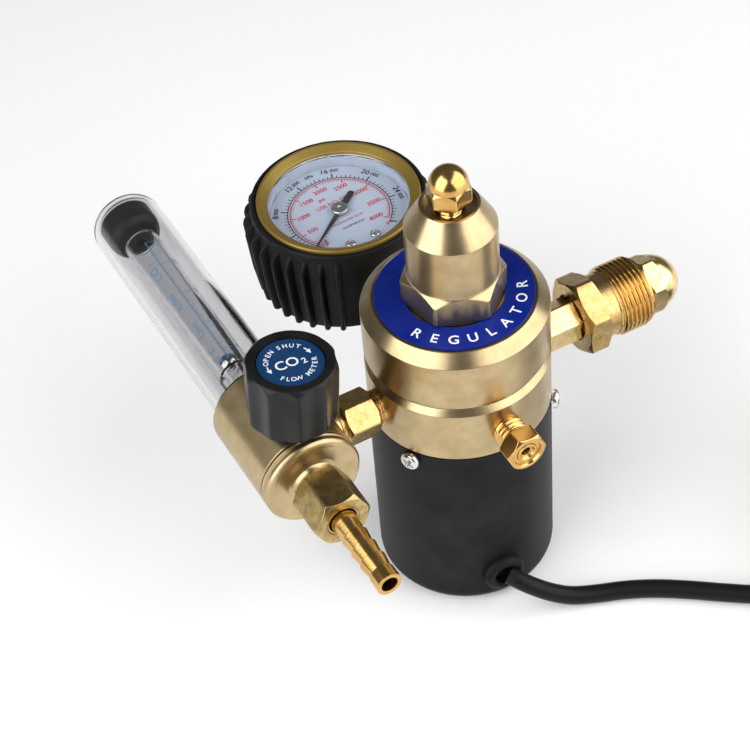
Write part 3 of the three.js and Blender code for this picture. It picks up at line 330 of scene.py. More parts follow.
def finished(name, mesh, axis, look, node, smooth=32, instead=True, slot=None):
    """A piece from a mesh built round Z in millimetres. It moves with a CAD node, and stands for it
    if instead is set."""
    local = mesh.attributes.new("local", "FLOAT_VECTOR", "POINT")
    local.data.foreach_set("vector", [value for v in mesh.vertices for value in v.co])
    mesh.transform(Matrix.Scale(MM, 4) @ axis)
    for face in mesh.polygons:
        face.use_smooth = True
    mesh.set_sharp_from_angle(angle=math.radians(smooth))
    mesh.materials.append(look)
    piece = placed(name, mesh)
    weighted = piece.modifiers.new("even_normals", "WEIGHTED_NORMAL")
    weighted.keep_sharp = True
    weighted.weight = 80
    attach(piece, BODY_OF[node])
    slot or SLOT_OF[node]
    if instead:
        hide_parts(node)
    return piece


def cleaned(name, corners, faces):
    """A mesh without doubled corners, with every face turned outwards."""
    built = bmesh.new()
    made = [built.verts.new(corner) for corner in corners]
    for face in faces:
        built.faces.new([made[i] for i in face])
    bmesh.ops.remove_doubles(built, verts=built.verts, dist=1e-4)
    bmesh.ops.dissolve_degenerate(built, edges=built.edges, dist=1e-5)
    bmesh.ops.recalc_face_normals(built, faces=built.faces)
    return mesh_of(built, name)


def columns_mesh(name, angles, outline, closed):
    """The surface through outline(angle), a list of (radius, height), at every angle round Z."""
    columns = [outline(angle) for angle in angles]
    rows = len(columns[0])
    corners = []
    for angle, column in zip(angles, columns):
        c, s = math.cos(angle), math.sin(angle)
        corners += [(r * c, r * s, z) for r, z in column]
    faces = []
    for i in range(len(angles)):
        a, b = i * rows, ((i + 1) % len(angles)) * rows
        for j in range(rows if closed else rows - 1):
            k = (j + 1) % rows
            faces.append((a + j, b + j, b + k, a + k))
    return cleaned(name, corners, faces)


def eased(outline, edge, closed):
    """The outline with each corner rounded off by about edge."""
    made = []
    count = len(outline)
    for i, point in enumerate(outline):
        if not closed and i in (0, count - 1):
            made.append(point)
            continue
        p = Vector(point)
        before, after = Vector(outline[i - 1]) - p, Vector(outline[(i + 1) % count]) - p
        cut = min(edge, 0.4 * before.length, 0.4 * after.length)
        start = p + before.normalized() * cut
        end = p + after.normalized() * cut
        made += [tuple(start), tuple(0.25 * start + 0.5 * p + 0.25 * end), tuple(end)]
    return made


def even_angles(count):
    return [2 * math.pi * i / count for i in range(count)]


def turned(name, outline, axis, look, node, edge=0.2, sides=128, closed=True, **more):
    mesh = columns_mesh(name, even_angles(sides), lambda _: eased(outline, edge, closed), closed)
    return finished(name, mesh, axis, look, node, **more)


def hexagon_radius(flats, corner, angle):
    """The radius of a hexagonal bar at an angle, with one corner at the angle given, and corners eased."""
    from_flat = (angle - corner) % (math.pi / 3) - math.pi / 6
    return min(flats / 2 / math.cos(from_flat), flats / math.sqrt(3) * 0.985)


def hexagon_angles(corner):
    """Angles that fall on a hexagon's corners and closely beside them, and evenly across its flats."""
    steps, beside = 14, math.radians(2.2)
    flat = math.pi / 3 - 2 * beside
    angles = []
    for side in range(6):
        start = corner + side * math.pi / 3
        angles += [start] + [start + beside + flat * i / steps for i in range(steps + 1)]
    return angles


def hexed(name, outline, span, axis, look, node, edge=0.15, closed=True, **more):
    """A piece with hexagonal stretches, the CAD node's lying in span along the axis.
    outline(radius_at) gets the hexagon's radius for any flats."""
    corner = corner_angle(node, axis, *span)

    def column(angle):
        return eased(outline(lambda flats: hexagon_radius(flats, corner, angle)), edge, closed)

    mesh = columns_mesh(name, hexagon_angles(corner), column, closed)
    return finished(name, mesh, axis, look, node, **more)


def chamfered(flats, radius, start, end, slope=0.5):
    """The outline of a hexagonal stretch whose corners are turned off at both ends, from start to end."""
    face = flats / 2 - 0.1
    way = 1 if end > start else -1
    fall = way * (radius - face) * slope
    return [(face, start), (radius, start + fall), (radius, end - fall), (face, end)]


def thread_rows(angle, r, depth, pitch, start, end, phase=0.0):
    """Points along a helical thread at one angle, fading out at both ends."""
    steps = int(round((end - start) / pitch * 10))
    rows = []
    for i in range(steps + 1):
        z = start + (end - start) * i / steps
        turn = (z / pitch - angle / (2 * math.pi) + phase) % 1
        ridge = abs(2 * turn - 1)
        height = min(1, max(0, 1.35 * ridge - 0.12))
        fade = min(1, (z - start) / pitch, (end - z) / pitch)
        rows.append((r - depth + depth * height * max(0, fade), z))
    return rows


def threaded(name, before, thread, after, axis, look, node, sides, closed=True, **more):
    """A piece with a thread, as thread_rows takes it, between the outline points before and after."""
    def column(angle):
        return before + thread_rows(angle, *thread) + after

    finished(name, columns_mesh(name, even_angles(sides), column, closed), axis, look, node, **more)


def ring_faces(rings, count, joined):
    """Faces between rings of count corners each. If joined, the last ring meets the first."""
    faces = []
    for i in range(rings if joined else rings - 1):
        a, b = i * count, (i + 1) % rings * count
        for j in range(count):
            k = (j + 1) % count
            faces.append((a + j, a + k, b + k, b + j))
    return faces


# ---------- lettering and printed lines ----------

def sheet_of(outlines, depth):
    """A mesh of flat outlines, given as lists of (x, y), each as a plate of the depth given."""
    built = bmesh.new()
    for outline in outlines:
        faces = []
        for z in (0, depth):
            ring = [built.verts.new((x, y, z)) for x, y in outline]
            built.faces.new(ring)
            faces.append(ring)
        for i in range(len(outline)):
            j = (i + 1) % len(outline)
            built.faces.new((faces[0][i], faces[0][j], faces[1][j], faces[1][i]))
    bmesh.ops.recalc_face_normals(built, faces=built.faces)
    return built


def letters(text, size, depth, bold=0.0):
    """A mesh of upright letters round the origin, as plates of the depth given."""
    curve = bpy.data.curves.new("letters", "FONT")
    curve.body = text
    curve.size = size
    curve.align_x = "CENTER"
    curve.align_y = "CENTER"
    curve.resolution_u = 3
    curve.offset = bold
    curve.extrude = depth / 2
    holder = placed("letters", curve)
    bpy.context.view_layer.update()
    seen = holder.evaluated_get(bpy.context.evaluated_depsgraph_get())
    mesh = bpy.data.meshes.new_from_object(seen)
    bpy.data.objects.remove(holder)
    built = bmesh.new()
    built.from_mesh(mesh)
    bmesh.ops.translate(built, verts=built.verts, vec=(0, 0, depth / 2))
    bpy.data.meshes.remove(mesh)
    return built


class Print:
    """Ink on a surface: letters, lines and bands gathered into one thin mesh."""

    def __init__(self, depth=0.03):
        self.depth = depth
        self.whole = bmesh.new()

    def take(self, built, where):
        built.transform(where)
        mesh = mesh_of(built, "ink")
        self.whole.from_mesh(mesh)
        bpy.data.meshes.remove(mesh)

    def write(self, text, size, x, y, turn=0.0, bold=0.0):
        where = Matrix.Translation((x, y, 0)) @ Matrix.Rotation(math.radians(turn), 4, "Z")
        self.take(letters(text, size, self.depth, bold), where)

    def write_round(self, text, size, r, start, step, inward, bold=0.0):
        """One letter after another round the origin, with their tops towards it or away from it."""
        for i, letter in enumerate(text):
            angle = start + i * step
            if letter != " ":
                x, y = r * math.cos(math.radians(angle)), r * math.sin(math.radians(angle))
                self.write(letter, size, x, y, angle + 90 if inward else angle - 90, bold)

    def draw(self, *outlines):
        self.take(sheet_of(outlines, self.depth), Matrix.Identity(4))

    def tick(self, angle, inner, outer, width):
        c, s = math.cos(math.radians(angle)), math.sin(math.radians(angle))
        half = width / 2
        ends = ((inner, -half), (outer, -half), (outer, half), (inner, half))
        self.draw([(r * c - w * s, r * s + w * c) for r, w in ends])

    def band(self, inner, outer, start, end, steps=60):
        arc = [math.radians(start + (end - start) * i / steps) for i in range(steps + 1)]
        for a, b in zip(arc, arc[1:]):
            corners = ((inner, a), (outer, a), (outer, b), (inner, b))
            self.draw([(r * math.cos(t), r * math.sin(t)) for r, t in corners])

    def onto(self, name, surface, axis, look, node):
        """Lays the ink on a CAD node's surface: surface(x, y, z) gives each corner's place."""
        for corner in self.whole.verts:
            corner.co = surface(*corner.co)
        return finished(name, mesh_of(self.whole, name), axis, look, node, instead=False)


def flat_at(height):
    return lambda x, y, z: (x, y, height + z)


# ---------- heater housing ----------

HOUSING_R = high("heater_housing").x
HOUSING_TOP = high("heater_housing").z
HOUSING_CORNER = 5.8
HOUSING_WALL = 2.2


def arc(centre_r, centre_z, r, start, end, steps):
    angles = [math.radians(start + (end - start) * i / steps) for i in range(steps + 1)]
    return [(centre_r + r * math.cos(a), centre_z + r * math.sin(a)) for a in angles]


def heater_housing():
    corner = HOUSING_CORNER
    inner = HOUSING_R - HOUSING_WALL
    outline = [(0, 0.4), (16, 0.4), (16.6, 0)] + arc(HOUSING_R - corner, corner, corner, -90, 0, 8)
    outline += [(HOUSING_R, 40), (HOUSING_R, HOUSING_TOP), (inner, HOUSING_TOP), (inner, 8), (inner - 4, 2.6),
                (0, 2.6)]
    turned("housing", outline, BODY_AXIS, HOUSING_BLACK, "heater_housing", 0.25, 160, False)


def cross_recess(x, y, reach, width, depth):
    """How far a cross-slotted screw's face is sunk at a point."""
    across, along = sorted((abs(x), abs(y)))
    side = min(1, max(0, (width - across) / (0.5 * width)))
    end = min(1, max(0, (reach - along) / (0.25 * reach)))
    return depth * side * end


def pan_screw(name, node, axis, seat, r, height):
    """A pan-head screw with a cross recess, its head standing on seat."""
    rings = 18
    rim = [(0.55 * r, seat - 1.2), (0.55 * r, seat), (r, seat), (r, seat + 0.35 * height)]
    dome = []
    for i in range(1, rings + 1):
        share = 1 - i / rings
        dome.append((r * share, seat + height * (0.35 + 0.65 * math.sqrt(1 - share**2.4))))

    def column(angle):
        made = [(0, seat - 1.2)] + rim
        for radius, z in dome:
            x, y = radius * math.cos(angle), radius * math.sin(angle)
            made.append((radius, z - cross_recess(x, y, 0.62 * r, 0.2 * r, 0.75 * height)))
        return made

    mesh = columns_mesh(name, even_angles(72), column, False)
    finished(name, mesh, axis, STEEL, node, smooth=50)


def housing_screws():
    for number in (1, 2, 3):
        node = f"housing_screw_{number}"
        away = middle(node)
        towards = Vector((away.x, away.y, 0)).normalized()
        axis = axis_at((0, 0, away.z), towards)
        reach = max(c.z for c in corners_about(node, axis))
        pan_screw(f"housing_screw_head_{number}", node, axis, reach - 2.2, 3.2, 2.2)


# ---------- cord ----------

CORD_D = 0.0063
CORD_ROUTE = [
    (-0.0024, -0.0326, 0.0142), (-0.0004, -0.0353, 0.0131), (0.0024, -0.0378, 0.0112),
    (0.0056, -0.0399, 0.0090), (0.0096, -0.0422, 0.0067), (0.0149, -0.0447, 0.0046),
    (0.0226, -0.0476, 0.0035), (0.0312, -0.0510, 0.0033), (0.0402, -0.0558, 0.0033),
    (0.0496, -0.0623, 0.0033), (0.0592, -0.0698, 0.0034), (0.0696, -0.0778, 0.0037),
    (0.0796, -0.0852, 0.0041), (0.0886, -0.0916, 0.0042), (0.1008, -0.1003, 0.0042),
    (0.1130, -0.1090, 0.0042),
]
COIL_START = -125.6  # degrees round the coil, where the cord runs onto it
LAYER = 0.0063
COIL_WOUND = 2426
# (degrees wound, steps inwards, steps up) at which each change of place has been made
COIL_STEPS = [
    (262, 0, 0), (352, 1, 0), (562, 1, 0), (622, 1, 1), (832, 1, 1), (922, 0, 1), (1132, 0, 1),
    (1192, 0, 2), (1402, 0, 2), (1492, 1, 2), (1702, 1, 2), (1762, 1, 3), (1972, 1, 3), (2062, 0, 3),
    (2272, 0, 3), (2332, 0, 4), (COIL_WOUND, 0, 4.8),
]


def coil_place(wound):
    """How many steps inwards and up the cord has gone after winding so many degrees."""
    before = (0, 0, 0)
    for after in COIL_STEPS:
        if wound <= after[0]:
            share = (wound - before[0]) / (after[0] - before[0])
            share = 0.5 - 0.5 * math.cos(math.pi * share)
            return [before[i] + (after[i] - before[i]) * share for i in (1, 2)]
        before = after
    return before[1:]


def smooth_route(points, steps):
    """Points along a centripetal Catmull-Rom curve."""
    points = [Vector(p) for p in points]
    points = [2 * points[0] - points[1]] + points + [2 * points[-1] - points[-2]]
    made = []
    for a, b, c, d in zip(points, points[1:], points[2:], points[3:]):
        t1 = math.sqrt((b - a).length)
        t2 = t1 + math.sqrt((c - b).length)
        t3 = t2 + math.sqrt((d - c).length)
        for i in range(steps):
            t = t1 + (t2 - t1) * i / steps
            ab = a.lerp(b, t / t1)
            bc = b.lerp(c, (t - t1) / (t2 - t1))
            cd = c.lerp(d, (t - t2) / (t3 - t2))
            made.append(ab.lerp(bc, t / t2).lerp(bc.lerp(cd, (t - t1) / (t3 - t1)), (t - t1) / (t2 - t1)))
    return made


def power_cord():
    centre = middle("cord_coil") * MM
    outer = high("cord_coil").x * MM - centre.x - CORD_D / 2
    inner = outer - CORD_D - 0.0001
    floor = low("cord_coil").z * MM + CORD_D / 2
    coil = []
    for i in range(0, COIL_WOUND, 8):
        inwards, up = coil_place(i)
        r = outer + (inner - outer) * inwards
        angle = math.radians(COIL_START + i)
        x, y = centre.x + r * math.cos(angle), centre.y + r * math.sin(angle)
        coil.append(Vector((x, y, floor + up * LAYER)))
    route = smooth_route(CORD_ROUTE + [tuple(coil[0])], 4) + coil
    curve = bpy.data.curves.new("power_cord_line", "CURVE")
    curve.dimensions = "3D"
    spline = curve.splines.new("POLY")
    spline.points.add(len(route) - 1)
    for point, place in zip(spline.points, route):
        point.co = (*place, 1)
    curve.bevel_depth = CORD_D / 2
    curve.bevel_resolution = 6
    curve.use_fill_caps = True
    curve.materials.append(CORD_BLACK)
    cord = placed("cord", curve)
    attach(cord, BODY)
    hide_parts("power_cord", "cord_coil")
    plug_shell()
    cable_tie()


def cable_tie():
    """A flat strap round the coil's section."""
    axis = facing(middle("coil_tie"), middle("coil_tie") - middle("cord_coil"))
    corners = corners_about("coil_tie", axis)
    half_w, half_y, half_h = (max(abs(c[i]) for c in corners) for i in range(3))
    rows = []
    for y in (-half_y, -half_y + 0.3, half_y - 0.3, half_y):
        proud = 0 if abs(y) == half_y else 0.12
        rows.append(rounded_loop(half_w - 0.12 + proud, half_h - 0.12 + proud, y))
    for y in (half_y - 0.3, -half_y + 0.3):
        rows.append(rounded_loop(half_w - 0.5, half_h - 0.5, y))
    corners = [corner for row in rows for corner in row]
    mesh = cleaned("cable_tie", corners, ring_faces(len(rows), len(rows[0]), True))
    return finished("cable_tie", mesh, axis, PLUG_BLACK, "coil_tie")


def rounded_loop(half_x, half_z, y):
    r, steps = 1.6, 5
    loop = []
    for sx, sz, start in ((1, 1, 0), (-1, 1, 90), (-1, -1, 180), (1, -1, 270)):
        for i in range(steps + 1):
            a = math.radians(start + 90 * i / steps)
            loop.append((sx * (half_x - r) + r * math.cos(a), y, sz * (half_z - r) + r * math.sin(a)))
    return loop


def plug_shell():
    """A moulded two-pin plug: a round-edged body that narrows into its ribbed strain relief."""
    pins = (middle("plug_pin_1") + middle("plug_pin_2")) / 2
    shell = middle("plug_body")
    axis = facing(shell, pins - shell)
    half_l, half_w, half_h = 19, 12.5, 8
    stations = [(-19, 3.9, 3.9), (-18.6, 4.2, 4.2)]
    stations += [(-17.6 + 0.8 * i, 4.2 - 0.6 * (i % 2), 4.2 - 0.6 * (i % 2)) for i in range(5)]
    stations += [(-13.5, 4.6, 4.4), (-10, 6.6, 5.6), (-5, 9.8, 7.2), (0, 11.8, 7.9), (4, 12.4, 8),
                 (half_l - 5, half_w, half_h), (half_l - 4.6, half_w - 0.5, half_h - 0.5),
                 (half_l - 4.2, half_w, half_h), (half_l - 0.8, half_w, half_h),
                 (half_l - 0.2, half_w - 0.4, half_h - 0.4), (half_l, half_w - 1, half_h - 1)]
    steps = 48
    corners = []
    for x, w, h in stations:
        for i in range(steps):
            a = 2 * math.pi * i / steps
            c, s = math.cos(a), math.sin(a)
            power = 0.55 if w > 7 else 1
            corners.append((x, w * math.copysign(abs(c) ** power, c), h * math.copysign(abs(s) ** power, s)))
    faces = ring_faces(len(stations), steps, False)
    faces += [tuple(range(steps)), tuple((len(stations) - 1) * steps + i for i in range(steps))]
    mesh = cleaned("plug", corners, faces)
    return finished("plug", mesh, axis, PLUG_BLACK, "plug_body", smooth=45)


def cord_grommet():
    exit_angle = math.radians(-96)
    axis = axis_at((0, 0, middle("cord_grommet").z), (math.cos(exit_angle), math.sin(exit_angle), 0))
    outline = [(3.5, 26), (5.2, 26), (5.2, 28.9), (7.2, 28.9), (7.2, 30.9), (6.9, 31.8), (6.1, 32.5),
               (5.2, 32.9), (4.2, 32.7), (3.5, 32)]
    turned("grommet", outline, axis, RUBBER_BLACK, "cord_grommet", 0.3, 96)


# ---------- regulator body ----------

def lower_body():
    bottom, edge, top = 73.5, 92.6, high("lower_body").z
    r, skirt_bottom, skirt_r = HOUSING_R, low("lower_body").z, 27.4
    outline = [
        (24, skirt_bottom), (skirt_r, skirt_bottom), (skirt_r, bottom), (r, bottom), (r, edge), (28.2, top),
        (19, top), (19, 88), (2.4, 88), (2.4, 85), (7, 85), (7, bottom), (24, bottom),
    ]
    turned("lower_brass_body", outline, BODY_AXIS, SATIN_BRASS["Z"], "lower_body", 0.18, 192)


def bonnet():
    bottom, top, r = low("bonnet").z, high("bonnet").z, high("bonnet").x
    groove, groove_r, edge, top_r = bottom + 2.6, r - 1.4, top - 3.7, r - 3.7
    outline = [(24.3, bottom), (groove_r, bottom), (groove_r, groove), (r, groove), (r, edge), (top_r, top),
               (25.6, top), (25.4, top - 0.25), (17, top - 0.25), (13.7, top - 0.25), (13.7, 110), (20, 107),
               (20, 96.4), (24.3, 96.4)]
    turned("upper_brass_body", outline, BODY_AXIS, SATIN_BRASS["Z"], "bonnet", 0.18, 192)


LABEL_R = 21.3
LABEL_START = -153
LABEL_STEP = 16.1


def label():
    bottom, top = low("label_ring").z - 0.4, high("label_ring").z
    outline = [(15.8, bottom), (25, bottom), (25, top), (15.8, top)]
    turned("label", outline, BODY_AXIS, LABEL_BLUE, "label_ring", 0.08, 192)
    ink = Print()
    ink.write_round("REGULATOR", 5.0, LABEL_R, LABEL_START, LABEL_STEP, inward=True, bold=0.06)
    ink.onto("label_lettering", flat_at(top), BODY_AXIS, PRINT_WHITE, "label_ring")


def spring_bonnet():
    seat, hex_top, skirt_r, skirt_top = high("bonnet").z + 0.3, 128.8, 14.4, 146.7
    top, mouth_outer, mouth_r, floor = high("spring_bonnet").z, 9.3, 8.3, 152.6
    flats = 29.4

    def outline(radius_at):
        radius = radius_at(flats)
        face = flats / 2 - 0.1
        return [
            (11, 110), (13.4, 110), (13.4, seat), (face, seat), (radius, seat + (radius - face) * 0.5),
            (radius, hex_top - 0.6 - (radius - face) * 1.05), (face, hex_top - 0.6), (skirt_r, hex_top),
            (skirt_r, skirt_top), (mouth_outer, top), (mouth_r, top), (mouth_r, floor),
            (4.4, floor), (4.4, 147.5), (11, 147.5),
        ]

    hexed("spring_housing", outline, (seat, hex_top), BODY_AXIS, SATIN_BRASS["Z"], "spring_bonnet", 0.2)


def adjuster():
    bottom, hex_top, flats, dome_r = low("acorn_nut").z, 162.4, 12.4, 6.2

    def outline(radius_at):
        radius = radius_at(flats)
        face = flats / 2 - 0.1
        rise = (radius - dome_r) * 1.5
        dome = arc(0, hex_top, dome_r, 3, 90, 12)
        dome[-1] = (0, hex_top + dome_r)
        return [(0, bottom + 1.2), (4.3, bottom + 1.2), (4.3, bottom), (face, bottom),
                (radius, bottom + (radius - face) * 0.5), (radius, hex_top - rise),
                (dome_r + 0.02, hex_top)] + dome

    hexed("adjusting_nut", outline, (bottom, hex_top), BODY_AXIS, GOLD_BRASS["Z"], "acorn_nut", 0.12, False)
    screw_low, screw_high = low("adjusting_screw").z, high("adjusting_screw").z
    thread = (4, 0.5, 1.25, screw_low + 1, screw_high)
    threaded("adjusting_thread", [(0, screw_low), (2.8, screw_low)], thread, [(0, screw_high)], BODY_AXIS,
             GOLD_BRASS["Z"], "adjusting_screw", 48, False)


# ---------- inlet ----------

def inlet():
    axis, stem_flats = INLET_AXIS, 13.5

    def stem(radius_at):
        hexagon = chamfered(stem_flats, radius_at(stem_flats), 30.4, 44)[1:]
        spindle = [(6.4, 44), (6.4, 65), (2.5, 65), (2.5, 60), (0, 60)]
        return [(0, 28), (6, 28), (6, 30.2), (6.6, 30.2)] + hexagon + spindle

    hexed("inlet_spindle", stem, (30, 44), axis, NOSE_BRASS, "inlet_stem", 0.12, False)
    start, hex_end, neck_end, end = low("inlet_nut").x, 51, 55.4, high("inlet_nut").x
    flats, neck_r, thread_r = 24.2, 10.9, 12.1

    def nut(radius_at):
        radius = radius_at(flats)
        face = flats / 2 - 0.3
        fall = (radius - face) * 0.55
        return [(8.1, 44.3), (8.1, start), (face, start), (radius, start + fall), (radius, hex_end - fall),
                (face, hex_end), (neck_r, hex_end), (neck_r, neck_end), (thread_r - 1.1, neck_end + 0.2),
                (6.7, neck_end + 0.2), (6.7, 44.3)]

    hexed("inlet_nut_hexagon", nut, (43, 51), axis, FITTING_BRASS, "inlet_nut", 0.15, instead=False)
    thread = (thread_r, 1.0, 1.65, neck_end, end)
    threaded("inlet_nut_thread", [(8.8, neck_end), (neck_r - 0.2, neck_end)], thread, [(8.8, end)], axis,
             GOLD_BRASS["X"], "inlet_nut", 120, smooth=60)
    nose_start, hex_start, hex_end_n, nose_flats, dome_r = low("inlet_nose").x, 69, 73.5, 18, 9.3

    def nose(radius_at):
        radius = radius_at(nose_flats)
        face = nose_flats / 2 - 0.1
        rise = (radius - face) * 1.1
        made = [(2.4, nose_start), (8.4, nose_start), (8.4, hex_start), (face, hex_start),
                (radius, hex_start + rise * 0.5), (radius, hex_end_n + 1.4 - rise)]
        made += arc(0, hex_end_n, dome_r, 16, 78, 12)
        return made + [(2.1, hex_end_n + 9.0), (2.1, hex_end_n + 5)]

    hexed("inlet_nose_dome", nose, (68.8, 74), axis, NOSE_BRASS, "inlet_nose", 0.12)


# ---------- gauge ----------

DIAL_UP = 93.1  # degrees: the way the dial's upright figures point
PSI_START, PSI_STEP = 227.3, 33.6  # where the red scale starts, and its turn for each 500
KPA_END, KPA_STEP = -46.3, 38.8  # where the black scale ends, and its turn for each 4000
FIGURES_R = 21.8  # the black figures' circle


def gauge_shell():
    bezel_low, bezel_high = low("gauge_bezel").z, high("gauge_bezel").z
    outline = [(24.2, bezel_low), (28.1, bezel_low), (28.1, bezel_high - 0.7), (27.9, bezel_high - 0.15),
               (27.5, bezel_high), (27.0, bezel_high - 0.1), (24.6, bezel_low + 1.3),
               (24.25, bezel_low + 1.05)]
    turned("bezel", outline, GAUGE_AXIS, BEZEL_GOLD, "gauge_bezel", 0.1, 192)
    lens_low, lens_high = low("gauge_lens").z, high("gauge_lens").z
    outline = [(0, lens_low), (24.9, lens_low), (24.9, lens_high), (0, lens_high)]
    turned("lens", outline, GAUGE_AXIS, LENS_GLASS, "gauge_lens", 0.15, 128, False)
    for number in (1, 2):
        node = f"dial_screw_{number}"
        axis = axis_at((middle(node).x, middle(node).y, 0), (0, 0, 1))
        pan_screw(f"dial_screw_head_{number}", node, axis, high(node).z - 0.9, 1.7, 0.9)


def dial():
    bottom, top = low("gauge_dial").z, high("gauge_dial").z
    outline = [(1.6, bottom), (23.8, bottom), (23.8, top), (22.9, top), (22.7, top - 0.08), (22.4, top),
               (1.6, top)]
    turned("dial", outline, GAUGE_AXIS, DIAL_WHITE, "gauge_dial", 0.05, 128)
    red, black = Print(), Print()
    red.band(16.9, 17.25, PSI_START, PSI_START - 8 * PSI_STEP, 90)
    for i in range(81):
        angle = PSI_START - i * PSI_STEP / 10
        main = i % 10 == 0
        red.tick(angle, 17.1 - (1.9 if main else 1.2 if i % 5 == 0 else 0.9), 17.1, 0.45 if main else 0.26)
    for i in range(1, 9):
        angle = math.radians(PSI_START - i * PSI_STEP)
        red.write(str(500 * i), 2.6, 12.4 * math.cos(angle), 13.1 * math.sin(angle), DIAL_UP - 90, 0.06)
    unit_r, unit = 9.2, math.radians(DIAL_UP) + 0.2
    red.write("psi", 2.3, unit_r * math.cos(unit), unit_r * math.sin(unit), DIAL_UP - 90, 0.05)
    red.write("psi", 2.2, 11.8, -13.3, DIAL_UP - 90, 0.05)
    red.write("USE NO OIL", 2.4, 0.2, 5.4, DIAL_UP - 90, 0.03)
    red.write("POUNDS PER SQ IN", 1.35, 0.6, -4.8, DIAL_UP - 90, 0.02)
    black.band(17.7, 18.05, KPA_END + 7 * KPA_STEP, KPA_END, 90)
    for i in range(57):
        angle = KPA_END + i * KPA_STEP / 8
        main = i % 8 == 0
        black.tick(angle, 17.9, 20.3 if main else 19.5 if i % 4 == 0 else 19.1, 0.5 if main else 0.28)
    for i in range(1, 6):
        angle = KPA_END + i * KPA_STEP + 1.5
        figures = str(28 - 4 * i)
        turn = math.radians(angle)
        wide = 1.8 * len(figures)
        tangent = Vector((math.sin(turn), -math.cos(turn)))
        middle_at = Vector((math.cos(turn), math.sin(turn))) * FIGURES_R
        first = middle_at - tangent * 1.9
        rest = middle_at + tangent * (wide / 2 - 0.1)
        black.write(figures, 3.0, first.x, first.y, angle - 90, 0.06)
        black.write("000", 2.1, rest.x, rest.y, angle - 92, 0.05)
    unit = math.radians(91.5)
    place = Vector((math.cos(unit), math.sin(unit))) * FIGURES_R
    black.write("kPa", 2.2, place.x, place.y, math.degrees(unit) - 90, 0.05)
    black.write("KILOPASCALS", 1.35, 1.1, -7.8, DIAL_UP - 90, 0.02)
    red.onto("dial_red_scale", flat_at(top), GAUGE_AXIS, PRINT_RED, "gauge_dial")
    black.onto("dial_black_scale", flat_at(top), GAUGE_AXIS, PRINT_BLACK, "gauge_dial")


def stop_pin():
    foot, top = high("gauge_dial").z - 0.3, low("gauge_lens").z - 1.5
    r, turn = 15.8, math.radians(-135)
    axis = GAUGE_AXIS @ Matrix.Translation((r * math.cos(turn), r * math.sin(turn), 0))
    outline = [(0, foot), (0.55, foot), (0.55, top - 0.3), (0.35, top), (0, top)]
    turned("needle_stop", outline, axis, STEEL, "gauge_dial", 0.1, 24, False, instead=False, slot="steel")


def needle():
    axis = joint_axis("needle_turn")
    tip = max(corners_about("gauge_needle", axis), key=lambda c: c.xy.length)
    axis = axis @ Matrix.Rotation(math.atan2(tip.y, tip.x), 4, "Z")
    z = high("gauge_needle").z - joint("needle_turn")["pos_m"][2] / MM - 2.3
    reach, tail, half_tip, half_hub, thick = 19.5, 10.5, 0.22, 0.85, 0.5
    outline = [(reach, 0), (reach - 0.5, half_tip), (2, half_hub), (-2, 1.15)]
    ends = [math.radians(90 + 15 * i) for i in range(7)]
    outline += [(1.15 * (math.cos(a) + 1) - tail, 1.15 * math.sin(a)) for a in ends]
    outline += [(x, -y) for x, y in reversed(outline[1:])]
    blade = sheet_of([outline], thick)
    bmesh.ops.bevel(blade, geom=blade.edges[:], offset=0.1, segments=1, affect="EDGES")
    bmesh.ops.translate(blade, verts=blade.verts, vec=(0, 0, z))
    finished("needle_blade", mesh_of(blade, "needle"), axis, NEEDLE_BLACK, "gauge_needle", instead=False)
    hub = [
        (0, -9), (0.9, -9), (0.9, z - 1.2), (1.7, z - 1.2), (1.7, z + 0.6), (3, z + 0.6), (3, z + 1.5),
        (2.75, z + 1.8), (0.7, z + 1.8), (0.5, z + 1.5), (0, z + 1.5),
    ]
    turned("needle_hub", hub, axis, HUB_GREY, "gauge_needle", 0.08, 64, False, slot="chrome")


BOOT_R, BOOT_RIBS, RIB_START, RIB_SPAN, RIB_HALF = 31, 29, -56, 296, 1.15


